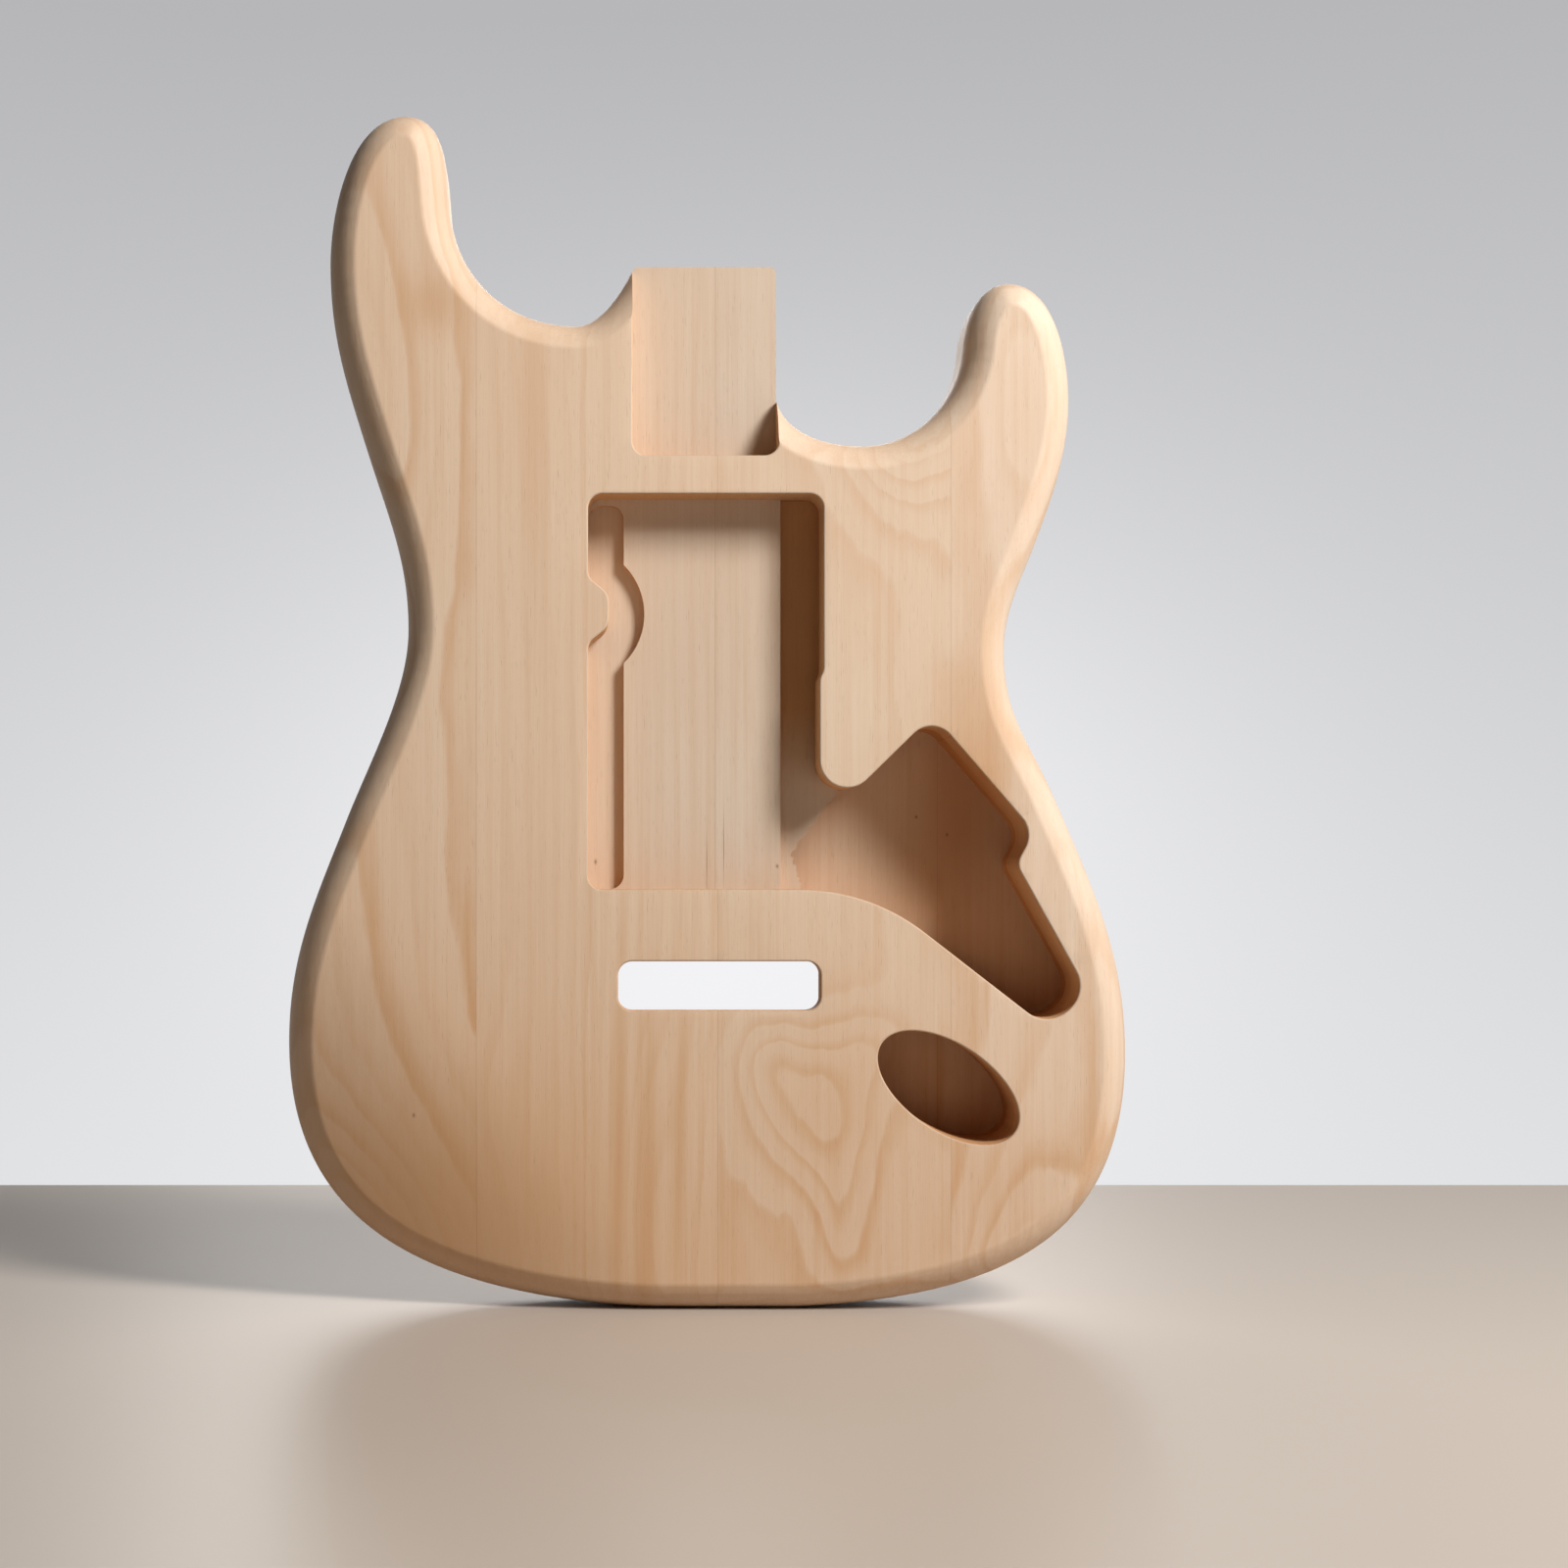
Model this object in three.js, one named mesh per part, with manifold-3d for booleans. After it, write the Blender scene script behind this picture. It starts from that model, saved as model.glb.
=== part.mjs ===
// Bare solid-body electric guitar blank: four edge-glued boards, shaped and routed as one piece of wood.
// Millimetres. The drawing is made facing the front: x towards the treble side, y from the butt up to
// the horns, z out of the face. The group at the end stands it on its butt, +Z up, face towards -Y.
import * as THREE from 'three';
import { mergeVertices } from 'three/addons/utils/BufferGeometryUtils.js';
import Module from 'manifold-3d';

const wasm = await Module();
wasm.setup();

// The body as a whole
const bodyLength = 460.4;
const bodyWidth = 324.5;
const bodyThickness = 44.45;

// The rounding of its edges, which the tips of the horns limit on a narrow body
const fullEdgeRadius = 10.5;
const hornTipShare = 0.034;
const edgeRadius = Math.min(fullEdgeRadius, hornTipShare * bodyWidth);

// The glue joints between the boards, as shares of half the width
const jointShares = [-0.545, 0.024, 0.574];

// The neck pocket, open towards the player's left hand, and the tongue that is its floor
const neckAxis = -0.66;
const tongueWidth = 56;
const tongueTopShare = 0.87576;
const tongueCornerRadius = 2.5;
const pocketLength = 75.5;
const pocketDepth = 16;
const pocketCornerRadius = 5.5;
const trebleCheekDrop = 52.8;

// The pickup rout below the pocket: a shallow plateau with a deeper channel along each long side
const pocketToRout = 14.7;
const routWidth = 90;
const routBottomShare = 0.351;
const routDepth = 17.5;
const routCornerRadius = 5.5;
const channelDepth = 21.5;
const bassChannelWidth = 14;
const trebleChannelWidth = 15.1;
const channelEndGap = 2.3;
const routStepIn = 1.5;
const routStepDrop = 67.7;
const routStepLength = 3;
const routStepRadius = 6;

// The rounded tab of wood that stands into the bass side of the pickup rout, for a screw
const tabReach = 8;
const tabHeight = 25.3;
const bulgeHeight = 38.2;
const tabDrop = 31.8;
const tabRootRadius = 5;
const tabTipRadius = 7;
const tabSlopeShare = 0.25;
const bulgeSteps = 10;

// The control cavity, which opens into the lower treble corner of the pickup rout
const controlDepth = 38;
const controlWall = 20.01;
const controlLength = 112.1;
const peninsulaRadius = 10.5;
const controlTopRadius = 9.5;
const shoulderRadius = 11;
const bumpRadius = 6;
const controlEndRadius = 12;
const sweepRadius = 77.7;
const ledgeReach = 9;
const ledgeRise = 14;

// The corners of the control cavity, from the sweep that leaves the bottom of the rout, round the far end
// and back to the peninsula: the share of its reach, the share of its length, and the radius
const controlShares = [
  [0.192, 0, sweepRadius],
  [0.879, -0.473, controlEndRadius],
  [1.032, -0.3535, controlEndRadius],
  [0.757, 0.086, bumpRadius],
  [0.823, 0.197, shoulderRadius],
  [0.435, 0.595, controlTopRadius],
  [0, 0.2175, peninsulaRadius],
];

// The tremolo slot through the body, and the block and spring cavities behind it
const slotWidth = 77.5;
const slotHeight = 18.9;
const slotCornerRadius = 5.5;
const slotOffset = 5.2;
const slotDrop = 36.9;
const blockWidth = 84;
const blockHeight = 32;
const blockOffset = 3.8;
const blockDepth = 36;
const springWidth = 57;
const springLength = 90;
const springDepth = 16;
const backCornerRadius = 6;

// The oval jack cavity
const jackInset = 70.15;
const jackRiseShare = 0.18636;
const jackLength = 61;
const jackWidth = 32.8;
const jackTiltAngle = -33.75;
const jackDepth = 38;

// The wire bores between the cavities, and how deep below the face the one to the jack runs
const boreDiameter = 8;
const jackBoreDepth = 30;

// The forearm contour on the front and the belly contour on the back: a point on the line where each
// starts, in from the bass side and up, the angle of that line, how wide and how deep the contour is, how
// far it reaches along the line to either side, and how much of its slope is there at the start. The
// forearm contour runs out over the edge of the body at both ends.
const armContour = {
  onBack: false,
  inset: 80.75,
  riseShare: 0.1807,
  lineAngle: -49.3,
  width: 75,
  depth: 17,
  reach: Infinity,
  slopeShare: 0.18,
};
const bellyContour = {
  onBack: true,
  inset: 98.25,
  riseShare: 0.63,
  lineAngle: -84,
  width: 52,
  depth: 14,
  reach: 88,
  slopeShare: 0.1,
};
const contourMargin = 0.5;

// How finely curves are cut into facets, and how far cutters run past what they cut
const outlineStep = 6;
const outlineTurnAngle = 7;
const cornerTurnAngle = 15;
const edgeSegments = 7;
const contourStep = 5;
const jackSides = 40;
const boreSides = 16;
const overrun = 5;
const weldDistance = 0.001;

// Places that follow from the sizes
const front = bodyThickness / 2;
const back = -front;
const tongueTop = tongueTopShare * bodyLength;
const tongueLeft = neckAxis - tongueWidth / 2;
const tongueRight = neckAxis + tongueWidth / 2;
const pocketFloor = front - pocketDepth;
const pocketEnd = tongueTop - pocketLength;
const bassCheekTop = tongueTop - tongueCornerRadius;
const trebleCheekTop = tongueTop - trebleCheekDrop;
const routLeft = neckAxis - routWidth / 2;
const routRight = neckAxis + routWidth / 2;
const routTop = pocketEnd - pocketToRout;
const routBottom = routBottomShare * bodyLength;
const routLowerRight = routRight - routStepIn;
const controlReach = bodyWidth / 2 - controlWall - routLowerRight;
const controlFloor = front - controlDepth;
const springFloor = back + springDepth;
const slotRise = routBottom - slotDrop;
const blockRise = slotRise + blockOffset;
const springTop = blockRise + blockHeight / 2 + springLength;
const jackAcross = bodyWidth / 2 - jackInset;
const jackRise = jackRiseShare * bodyLength;
const [bassJoint, centreJoint, trebleJoint] = jointShares.map((share) => (share * bodyWidth) / 2);

// The outline of the body, anticlockwise from the bass cutaway to the treble cutaway. Each row holds the
// point's share of half the width, its share of the length, the heading of the edge there in degrees,
// and the length of the curve's handle before and after it as shares of the distance to its neighbour.
// The butt is flat between the two points at a share of zero, so that the body stands on it.
const outlineShares = [
  [-0.309, 0.824, 180, 0.30, 0.40],
  [-0.610, 0.920, 95.5, 0.39, 0.38],
  [-0.715, 1, 180, 0.40, 0.34],
  [-0.896, 0.876, 270, 0.32, 0.38],
  [-0.8055, 0.717, 287.5, 0.38, 0.38],
  [-0.710, 0.569, 270, 0.38, 0.30],
  [-0.859, 0.408, 248.5, 0.33, 0.37],
  [-1, 0.215, 270, 0.38, 0.432],
  [-0.15, 0, 357.4, 0.482, 0],
  [0.216, 0, 2.8, 0, 0.517],
  [1, 0.2135, 90, 0.435, 0.37],
  [0.832, 0.427, 113.5, 0.37, 0.41],
  [0.711, 0.551, 90, 0.42, 0.36],
  [0.786, 0.642, 69.5, 0.36, 0.35],
  [0.865, 0.761, 90, 0.35, 0.32],
  [0.720, 0.8596, 180, 0.36, 0.38],
  [0.613, 0.805, 266, 0.36, 0.40],
  [0.376, 0.7234, 180, 0.36, 0.33],
];
const bassCheek = { headingAngle: 244.5, leaveShare: 0.29 };
const trebleCheek = { headingAngle: 106, arriveShare: 0.38 };

function degrees(angle) {
  return THREE.MathUtils.degToRad(angle);
}

function direction(angle) {
  return new THREE.Vector2(Math.cos(degrees(angle)), Math.sin(degrees(angle)));
}

function moved(point, angle, distance) {
  return point.clone().addScaledVector(direction(angle), distance);
}

// The knots of the outline, from cheek to cheek
function outlineKnots() {
  const knots = outlineShares.map(([across, rise, headingAngle, arriveShare, leaveShare]) => ({
    point: new THREE.Vector2((across * bodyWidth) / 2, rise * bodyLength),
    headingAngle,
    arriveShare,
    leaveShare,
  }));
  return [
    { ...bassCheek, point: new THREE.Vector2(tongueLeft, bassCheekTop) },
    ...knots,
    { ...trebleCheek, point: new THREE.Vector2(tongueRight, trebleCheekTop) },
  ];
}

// Smooth curves through the knots, cut into facets by their length and by how far they turn
function outlinePoints() {
  const knots = outlineKnots();
  const points = [];
  for (let i = 1; i < knots.length; i += 1) {
    const [start, end] = [knots[i - 1], knots[i]];
    const chord = start.point.distanceTo(end.point);
    const curve = new THREE.CubicBezierCurve(
      start.point,
      moved(start.point, start.headingAngle, chord * start.leaveShare),
      moved(end.point, end.headingAngle + 180, chord * end.arriveShare),
      end.point,
    );
    const turned = THREE.MathUtils.euclideanModulo(end.headingAngle - start.headingAngle + 180, 360);
    const turn = Math.abs(turned - 180);
    const steps = Math.ceil(Math.max(chord / outlineStep, turn / outlineTurnAngle));
    points.push(...curve.getPoints(steps).slice(i === 1 ? 0 : 1));
  }
  return points;
}

// The points of a fillet at a corner, held to half of the shorter side beside it
function filletPoints(before, corner, after, radius) {
  if (radius === 0) {
    return [corner];
  }
  const inward = before.clone().sub(corner);
  const outward = after.clone().sub(corner);
  const room = Math.min(inward.length(), outward.length()) / 2;
  const halfAngle = inward.normalize().angleTo(outward.normalize()) / 2;
  const held = Math.min(radius, room * Math.tan(halfAngle));
  const bisector = inward.clone().add(outward).normalize();
  const centre = corner.clone().addScaledVector(bisector, held / Math.sin(halfAngle));
  const start = corner.clone().addScaledVector(inward, held / Math.tan(halfAngle)).sub(centre);
  const turn = Math.PI - 2 * halfAngle;
  const sweep = Math.sign(outward.cross(inward)) * turn;
  const steps = Math.ceil(Math.max(turn / degrees(cornerTurnAngle), (turn * held) / outlineStep));
  const points = [];
  for (let i = 0; i <= steps; i += 1) {
    points.push(start.clone().rotateAround(new THREE.Vector2(), (sweep * i) / steps).add(centre));
  }
  return points;
}

// One list of fillet points for each corner [x, y, radius] of a closed outline
function filletCorners(corners) {
  const points = corners.map(([x, y]) => new THREE.Vector2(x, y));
  const count = corners.length;
  return corners.map(([, , radius], i) => (
    filletPoints(points[(i + count - 1) % count], points[i], points[(i + 1) % count], radius)
  ));
}

function roundedRectangle(left, right, bottom, top, radius) {
  return filletCorners([
    [left, bottom, radius],
    [right, bottom, radius],
    [right, top, radius],
    [left, top, radius],
  ]).flat();
}

function solid(geometry) {
  geometry.deleteAttribute('normal');
  geometry.deleteAttribute('uv');
  const welded = mergeVertices(geometry, weldDistance);
  return new wasm.Manifold(new wasm.Mesh({
    numProp: 3,
    vertProperties: Float32Array.from(welded.attributes.position.array),
    triVerts: Uint32Array.from(welded.index.array),
  }));
}

// A straight-walled solid of an outline, between two heights
function prism(points, bottom, top) {
  const geometry = new THREE.ExtrudeGeometry(new THREE.Shape(points), {
    depth: top - bottom,
    bevelEnabled: false,
  });
  return solid(geometry.translate(0, 0, bottom));
}

// A block whose sides lie exactly at the numbers given, so that neighbours share them
function block(left, right, bottom, top, low, high) {
  const corners = [[left, bottom], [right, bottom], [right, top], [left, top]];
  return prism(corners.map(([x, y]) => new THREE.Vector2(x, y)), low, high);
}

// The whole thickness of the body in an outline, with its edges rounded over on the front and the back
function roundedSlab(points) {
  const geometry = new THREE.ExtrudeGeometry(new THREE.Shape(points), {
    depth: bodyThickness - 2 * edgeRadius,
    bevelThickness: edgeRadius,
    bevelSize: edgeRadius,
    bevelOffset: -edgeRadius,
    bevelSegments: edgeSegments,
  });
  return solid(geometry.translate(0, 0, back + edgeRadius));
}

// A closed solid through rings of points that all have the same count
function loft(rings) {
  const size = rings[0].length;
  const positions = rings.flat().flatMap((point) => [point.x, point.y, point.z]);
  const index = [];
  for (let i = 1; i < rings.length; i += 1) {
    for (let k = 0; k < size; k += 1) {
      const next = (k + 1) % size;
      const [a, b] = [(i - 1) * size + k, (i - 1) * size + next];
      const [c, d] = [i * size + next, i * size + k];
      index.push(a, b, c, a, c, d);
    }
  }
  const last = (rings.length - 1) * size;
  for (let k = 1; k < size / 2; k += 1) {
    const far = size - 1 - k;
    index.push(k - 1, far + 1, k, k, far + 1, far);
    index.push(last + k - 1, last + k, last + far + 1, last + k, last + far, last + far + 1);
  }
  const geometry = new THREE.BufferGeometry();
  geometry.setAttribute('position', new THREE.Float32BufferAttribute(positions, 3));
  geometry.setIndex(index);
  return geometry;
}

// How far a contour lies below the face at a point. It deepens ever faster away from its start line, and
// fades out towards its reach. Before the line, where it would lie above the face, it is negative.
function contourDrop(contour, point) {
  const deepening = steepening(contour, contourBeyond(contour, point) / contour.width);
  const along = direction(contour.lineAngle).dot(contourOffset(contour, point));
  const fading = deepening > 0 ? steepening(contour, 1 - (along / contour.reach) ** 2) : 1;
  return contour.depth * deepening * fading;
}

function steepening(contour, share) {
  return share * (contour.slopeShare + (1 - contour.slopeShare) * Math.abs(share));
}

function contourOffset(contour, point) {
  const start = new THREE.Vector2(contour.inset - bodyWidth / 2, contour.riseShare * bodyLength);
  return point.clone().sub(start);
}

// How far a point lies beyond the line where a contour starts
function contourBeyond(contour, point) {
  return contourOffset(contour, point).cross(direction(contour.lineAngle));
}

// The rounded edge follows a contour down. This is the solid above the lowered face and edge, lofted
// through one section for each point of the outline that the contour passes.
function contourCutter(contour, outline) {
  const drops = outline.map((point) => contourDrop(contour, point));
  const deepest = drops.indexOf(Math.max(...drops));
  let [first, last] = [deepest, deepest];
  while (first > 1 && drops[first] > -contourMargin) {
    first -= 1;
  }
  while (last < outline.length - 2 && drops[last] > -contourMargin) {
    last += 1;
  }
  const rings = [];
  for (let i = first; i <= last; i += 1) {
    rings.push(contourSection(contour, outline[i - 1], outline[i], outline[i + 1]));
  }
  return solid(loft(contour.onBack ? rings : rings.reverse()));
}

// One section of a contour cutter: in from the start line to the rounded edge, over the edge as the slab
// has it, out past the side of the body, and back above the face
function contourSection(contour, before, point, after) {
  const arriving = point.clone().sub(before).normalize();
  const leaving = after.clone().sub(point).normalize();
  const normal = new THREE.Vector2(-arriving.y - leaving.y, arriving.x + leaving.x);
  normal.divideScalar(1 + arriving.dot(leaving));
  const rim = point.clone().addScaledVector(normal, edgeRadius);
  const inner = Math.max(contourBeyond(contour, rim), contourStep);
  const innerSteps = Math.round(contour.width / contourStep);
  const profile = [[moved(rim, contour.lineAngle + 90, inner + contourStep), 0]];
  for (let i = innerSteps; i > 0; i -= 1) {
    profile.push([moved(rim, contour.lineAngle + 90, (inner * i) / innerSteps), 0]);
  }
  for (let i = 0; i < edgeSegments; i += 1) {
    const angle = ((i / edgeSegments) * Math.PI) / 2;
    const inset = edgeRadius * (1 - Math.sin(angle));
    profile.push([point.clone().addScaledVector(normal, inset), edgeRadius * (1 - Math.cos(angle))]);
  }
  const lastInset = edgeRadius * (1 - Math.sin(((1 - 1 / edgeSegments) * Math.PI) / 2));
  const lastDrop = 2 * edgeRadius - profile.at(-1)[1];
  profile.push([point.clone().addScaledVector(normal, -lastInset), lastDrop]);
  profile.push([point.clone().addScaledVector(normal, -overrun), lastDrop]);
  const side = contour.onBack ? -1 : 1;
  const lower = profile.map(([place, drop]) => new THREE.Vector3(
    place.x,
    place.y,
    side * (front - contourDrop(contour, place) - drop),
  ));
  const upper = profile.map(([place]) => new THREE.Vector3(place.x, place.y, side * (front + bodyThickness)));
  return [...lower, ...upper.reverse()];
}

// The slab of the body, whose outline runs on past both cheeks of the neck pocket, so that their edges are
// rounded right up to the pocket's walls
function slabPastCheeks(outline, trebleEnd) {
  const bassEnd = moved(outline[0], bassCheek.headingAngle + 180, pocketDepth);
  return roundedSlab([bassEnd, ...outline, trebleEnd]);
}

// The front layer of the body, down to the pocket floor
function frontLayer(outline) {
  const trebleEnd = moved(outline.at(-1), trebleCheek.headingAngle, pocketDepth);
  const above = block(-bodyWidth, bodyWidth, -bodyLength, 2 * bodyLength, pocketFloor, front + overrun);
  return slabPastCheeks(outline, trebleEnd).intersect(above).subtract(neckPocket());
}

// The back layer of the body, with the tongue, whose bass side goes on along the cutaway's edge
function backLayer(outline) {
  const trebleEnd = new THREE.Vector2(tongueRight, tongueTop + pocketDepth);
  const below = block(-bodyWidth, bodyWidth, -bodyLength, 2 * bodyLength, back - overrun, pocketFloor);
  const past = block(tongueLeft, tongueRight + overrun, tongueTop, bodyLength, back - overrun, front);
  const rise = tongueTop - bassCheekTop;
  const edge = direction(bassCheek.headingAngle + 180);
  const bassCorner = outline[0].clone().addScaledVector(edge, rise / edge.y);
  const trebleCorner = new THREE.Vector2(tongueRight, tongueTop);
  return slabPastCheeks(outline, trebleEnd).intersect(below)
    .subtract(past)
    .subtract(tongueEndCutter())
    .subtract(cornerCutter(outline.at(-1), trebleCorner, bassCorner))
    .subtract(cornerCutter(trebleCorner, bassCorner, moved(bassCorner, bassCheek.headingAngle, tongueWidth)));
}

// What rounding takes off the back edge of the tongue's end, drawn from the side
function tongueEndCutter() {
  const corner = new THREE.Vector2(back, tongueTop);
  const below = new THREE.Vector2(back, pocketEnd);
  const arc = filletPoints(below, corner, new THREE.Vector2(front, tongueTop), edgeRadius);
  const outside = new THREE.Vector2(back - overrun, tongueTop + overrun);
  return prism([...arc, outside], -tongueWidth, tongueWidth).rotate([0, -90, 0]);
}

// What rounding takes off an upright corner of the tongue
function cornerCutter(before, corner, after) {
  const arc = filletPoints(before, corner, after, tongueCornerRadius);
  const middle = arc[0].clone().add(arc.at(-1)).divideScalar(2);
  const outside = corner.clone().add(corner.clone().sub(middle).setLength(overrun));
  return prism([...arc, outside], back - overrun, front + overrun);
}

function neckPocket() {
  const open = tongueTop + pocketDepth + overrun;
  const corners = [
    [tongueLeft, pocketEnd, pocketCornerRadius],
    [tongueRight, pocketEnd, pocketCornerRadius],
    [tongueRight, open, 0],
    [tongueLeft, open, 0],
  ];
  return prism(filletCorners(corners).flat(), pocketFloor - overrun, front + overrun);
}

// The walls of the front rout, as the fillet points of its corners: anticlockwise from its upper bass
// corner down the bass wall and its tab, round the control cavity, and up the treble wall
function routWalls() {
  const tabTop = routTop - tabDrop;
  const tabBottom = tabTop - tabHeight;
  const tabTip = routLeft + tabReach;
  const stepTop = routTop - routStepDrop;
  const bassCorners = [
    [routLeft, tabTop, tabRootRadius],
    [tabTip, tabTop - tabHeight * tabSlopeShare, tabTipRadius],
    [tabTip, tabBottom + tabHeight * tabSlopeShare, tabTipRadius],
    [routLeft, tabBottom, tabRootRadius],
    [routLeft, routBottom, routCornerRadius],
  ];
  const controlCorners = controlShares.map(([across, rise, radius]) => (
    [routLowerRight + across * controlReach, routBottom + rise * controlLength, radius]
  ));
  const trebleCorners = [
    [routLowerRight, stepTop - routStepLength, routStepRadius],
    [routRight, stepTop, routStepRadius],
    [routRight, routTop, routCornerRadius],
  ];
  const topCorner = [routLeft, routTop, routCornerRadius];
  const [top, ...fillets] = filletCorners([topCorner, ...bassCorners, ...controlCorners, ...trebleCorners]);
  const bass = fillets.splice(0, bassCorners.length).flat();
  const [sweep, ...control] = fillets.splice(0, controlCorners.length);
  const peninsula = control.pop();
  return { top, bass, sweep, control, peninsula, treble: fillets.flat() };
}

function frontRout() {
  const walls = routWalls();
  const { top, bass, sweep, control, peninsula, treble } = walls;
  const open = front + overrun;
  const plateauPoints = [...top, ...bass, ...sweep, ...control.flat(), ...peninsula, ...treble];
  const trebleLeft = routRight - trebleChannelWidth;
  const trebleChannelPoints = [
    new THREE.Vector2(trebleLeft, routBottom),
    ...sweep,
    ...peninsula,
    ...treble,
    new THREE.Vector2(trebleLeft, routTop),
  ];
  return prism(plateauPoints, front - routDepth, open)
    .add(prism(bassChannelPoints(bass), front - channelDepth, open))
    .add(prism(trebleChannelPoints, front - channelDepth, open))
    .add(prism(controlPoints(walls), controlFloor, open));
}

// The bass channel follows the wall and its tab, and bulges by the tab's reach on its other side
function bassChannelPoints(bassWall) {
  const right = routLeft + bassChannelWidth;
  const top = routTop - channelEndGap;
  const rectangle = filletCorners([
    [right, routBottom, routCornerRadius],
    [right, top, routCornerRadius],
    [routLeft, top, routCornerRadius],
    [routLeft, routBottom, routCornerRadius],
  ]);
  const [lowerRight, upperRight, upperLeft] = rectangle;
  const middle = routTop - tabDrop - tabHeight / 2;
  const halfHeight = bulgeHeight / 2;
  const radius = (halfHeight ** 2 + tabReach ** 2) / (2 * tabReach);
  const halfSweep = Math.asin(halfHeight / radius);
  const bulge = [];
  for (let i = 0; i <= bulgeSteps; i += 1) {
    const angle = halfSweep * ((2 * i) / bulgeSteps - 1);
    bulge.push(new THREE.Vector2(
      right + tabReach - radius * (1 - Math.cos(angle)),
      middle + radius * Math.sin(angle),
    ));
  }
  return [...upperLeft, ...bassWall, ...lowerRight, ...bulge, ...upperRight];
}

// The deep part of the control cavity: its outer walls, and the ledge that its cutter left when it broke
// through into the shallower rout
function controlPoints({ sweep, control, peninsula }) {
  const lowest = peninsula.reduce((best, point, i) => (point.y < peninsula[best].y ? i : best), 0);
  const tip = new THREE.Vector2(routLowerRight - ledgeReach, routBottom + ledgeRise);
  return [...sweep.slice(1), ...control.flat(), ...peninsula.slice(0, lowest + 1), tip];
}

function tremoloCavities() {
  const slotX = neckAxis + slotOffset;
  const slot = roundedRectangle(
    slotX - slotWidth / 2,
    slotX + slotWidth / 2,
    slotRise - slotHeight / 2,
    slotRise + slotHeight / 2,
    slotCornerRadius,
  );
  const blockCavity = roundedRectangle(
    slotX - blockWidth / 2,
    slotX + blockWidth / 2,
    blockRise - blockHeight / 2,
    blockRise + blockHeight / 2,
    backCornerRadius,
  );
  const springCavity = roundedRectangle(
    neckAxis - springWidth / 2,
    neckAxis + springWidth / 2,
    blockRise,
    springTop,
    backCornerRadius,
  );
  return prism(slot, back - overrun, front + overrun)
    .add(prism(blockCavity, back - overrun, back + blockDepth))
    .add(prism(springCavity, back - overrun, springFloor));
}

function jackCavity() {
  const oval = new THREE.EllipseCurve(
    jackAcross,
    jackRise,
    jackLength / 2,
    jackWidth / 2,
    0,
    2 * Math.PI,
    false,
    degrees(jackTiltAngle),
  );
  return prism(oval.getPoints(jackSides).slice(1), front - jackDepth, front + overrun);
}

function bore(start, end) {
  const geometry = new THREE.CylinderGeometry(
    boreDiameter / 2,
    boreDiameter / 2,
    start.distanceTo(end),
    boreSides,
  );
  const along = end.clone().sub(start).normalize();
  geometry.applyQuaternion(new THREE.Quaternion().setFromUnitVectors(new THREE.Vector3(0, 1, 0), along));
  const middle = start.clone().add(end).divideScalar(2);
  return solid(geometry.translate(middle.x, middle.y, middle.z));
}

// One bore from the end of the control cavity to the jack, and one from its ledge to the spring cavity
function wireBores() {
  const [lowerFillet, upperFillet] = routWalls().control;
  const [lowerEnd, upperEnd] = [lowerFillet.at(-1), upperFillet[0]];
  const depth = front - jackBoreDepth;
  const fromControl = new THREE.Vector3(
    lowerEnd.x - controlEndRadius,
    (lowerEnd.y + upperEnd.y) / 2 + controlEndRadius / 2,
    depth,
  );
  const jackBore = bore(fromControl, new THREE.Vector3(jackAcross, jackRise, depth));
  const groundHeight = (controlFloor + springFloor) / 2;
  const groundRise = routBottom + ledgeRise;
  const groundBore = bore(
    new THREE.Vector3(neckAxis, groundRise, groundHeight),
    new THREE.Vector3(routRight, groundRise, groundHeight),
  );
  return jackBore.add(groundBore);
}

function bodySolid() {
  const outline = outlinePoints();
  return frontLayer(outline)
    .add(backLayer(outline))
    .subtract(contourCutter(armContour, outline))
    .subtract(contourCutter(bellyContour, outline))
    .subtract(frontRout())
    .subtract(tremoloCavities())
    .subtract(jackCavity())
    .subtract(wireBores());
}

function boardMesh(name, colour, shape) {
  const { vertProperties, triVerts } = shape.getMesh();
  const geometry = new THREE.BufferGeometry();
  geometry.setAttribute('position', new THREE.BufferAttribute(vertProperties, 3));
  geometry.setIndex(new THREE.BufferAttribute(triVerts, 1));
  const material = new THREE.MeshStandardMaterial({
    color: colour,
    roughness: 0.62,
    metalness: 0,
    flatShading: true,
  });
  const mesh = new THREE.Mesh(geometry, material);
  mesh.name = name;
  return mesh;
}

// Each board is the part of the shaped body between two glue joints
function boards() {
  const body = bodySolid();
  const rows = [
    ['bass_outer_board', '#cfae92', -bodyWidth, bassJoint],
    ['bass_inner_board', '#d3b396', bassJoint, centreJoint],
    ['treble_inner_board', '#cda685', centreJoint, trebleJoint],
    ['treble_outer_board', '#d0ab8b', trebleJoint, bodyWidth],
  ];
  return rows.map(([name, colour, left, right]) => {
    const slice = block(left, right, -bodyLength, 2 * bodyLength, -bodyThickness, bodyThickness);
    return boardMesh(name, colour, body.intersect(slice));
  });
}

const guitarBody = new THREE.Group();
guitarBody.rotation.x = Math.PI / 2;
guitarBody.add(...boards());

export default guitarBody;
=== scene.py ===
import math
import random

import bmesh
import bpy
from mathutils import Matrix, Vector


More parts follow.
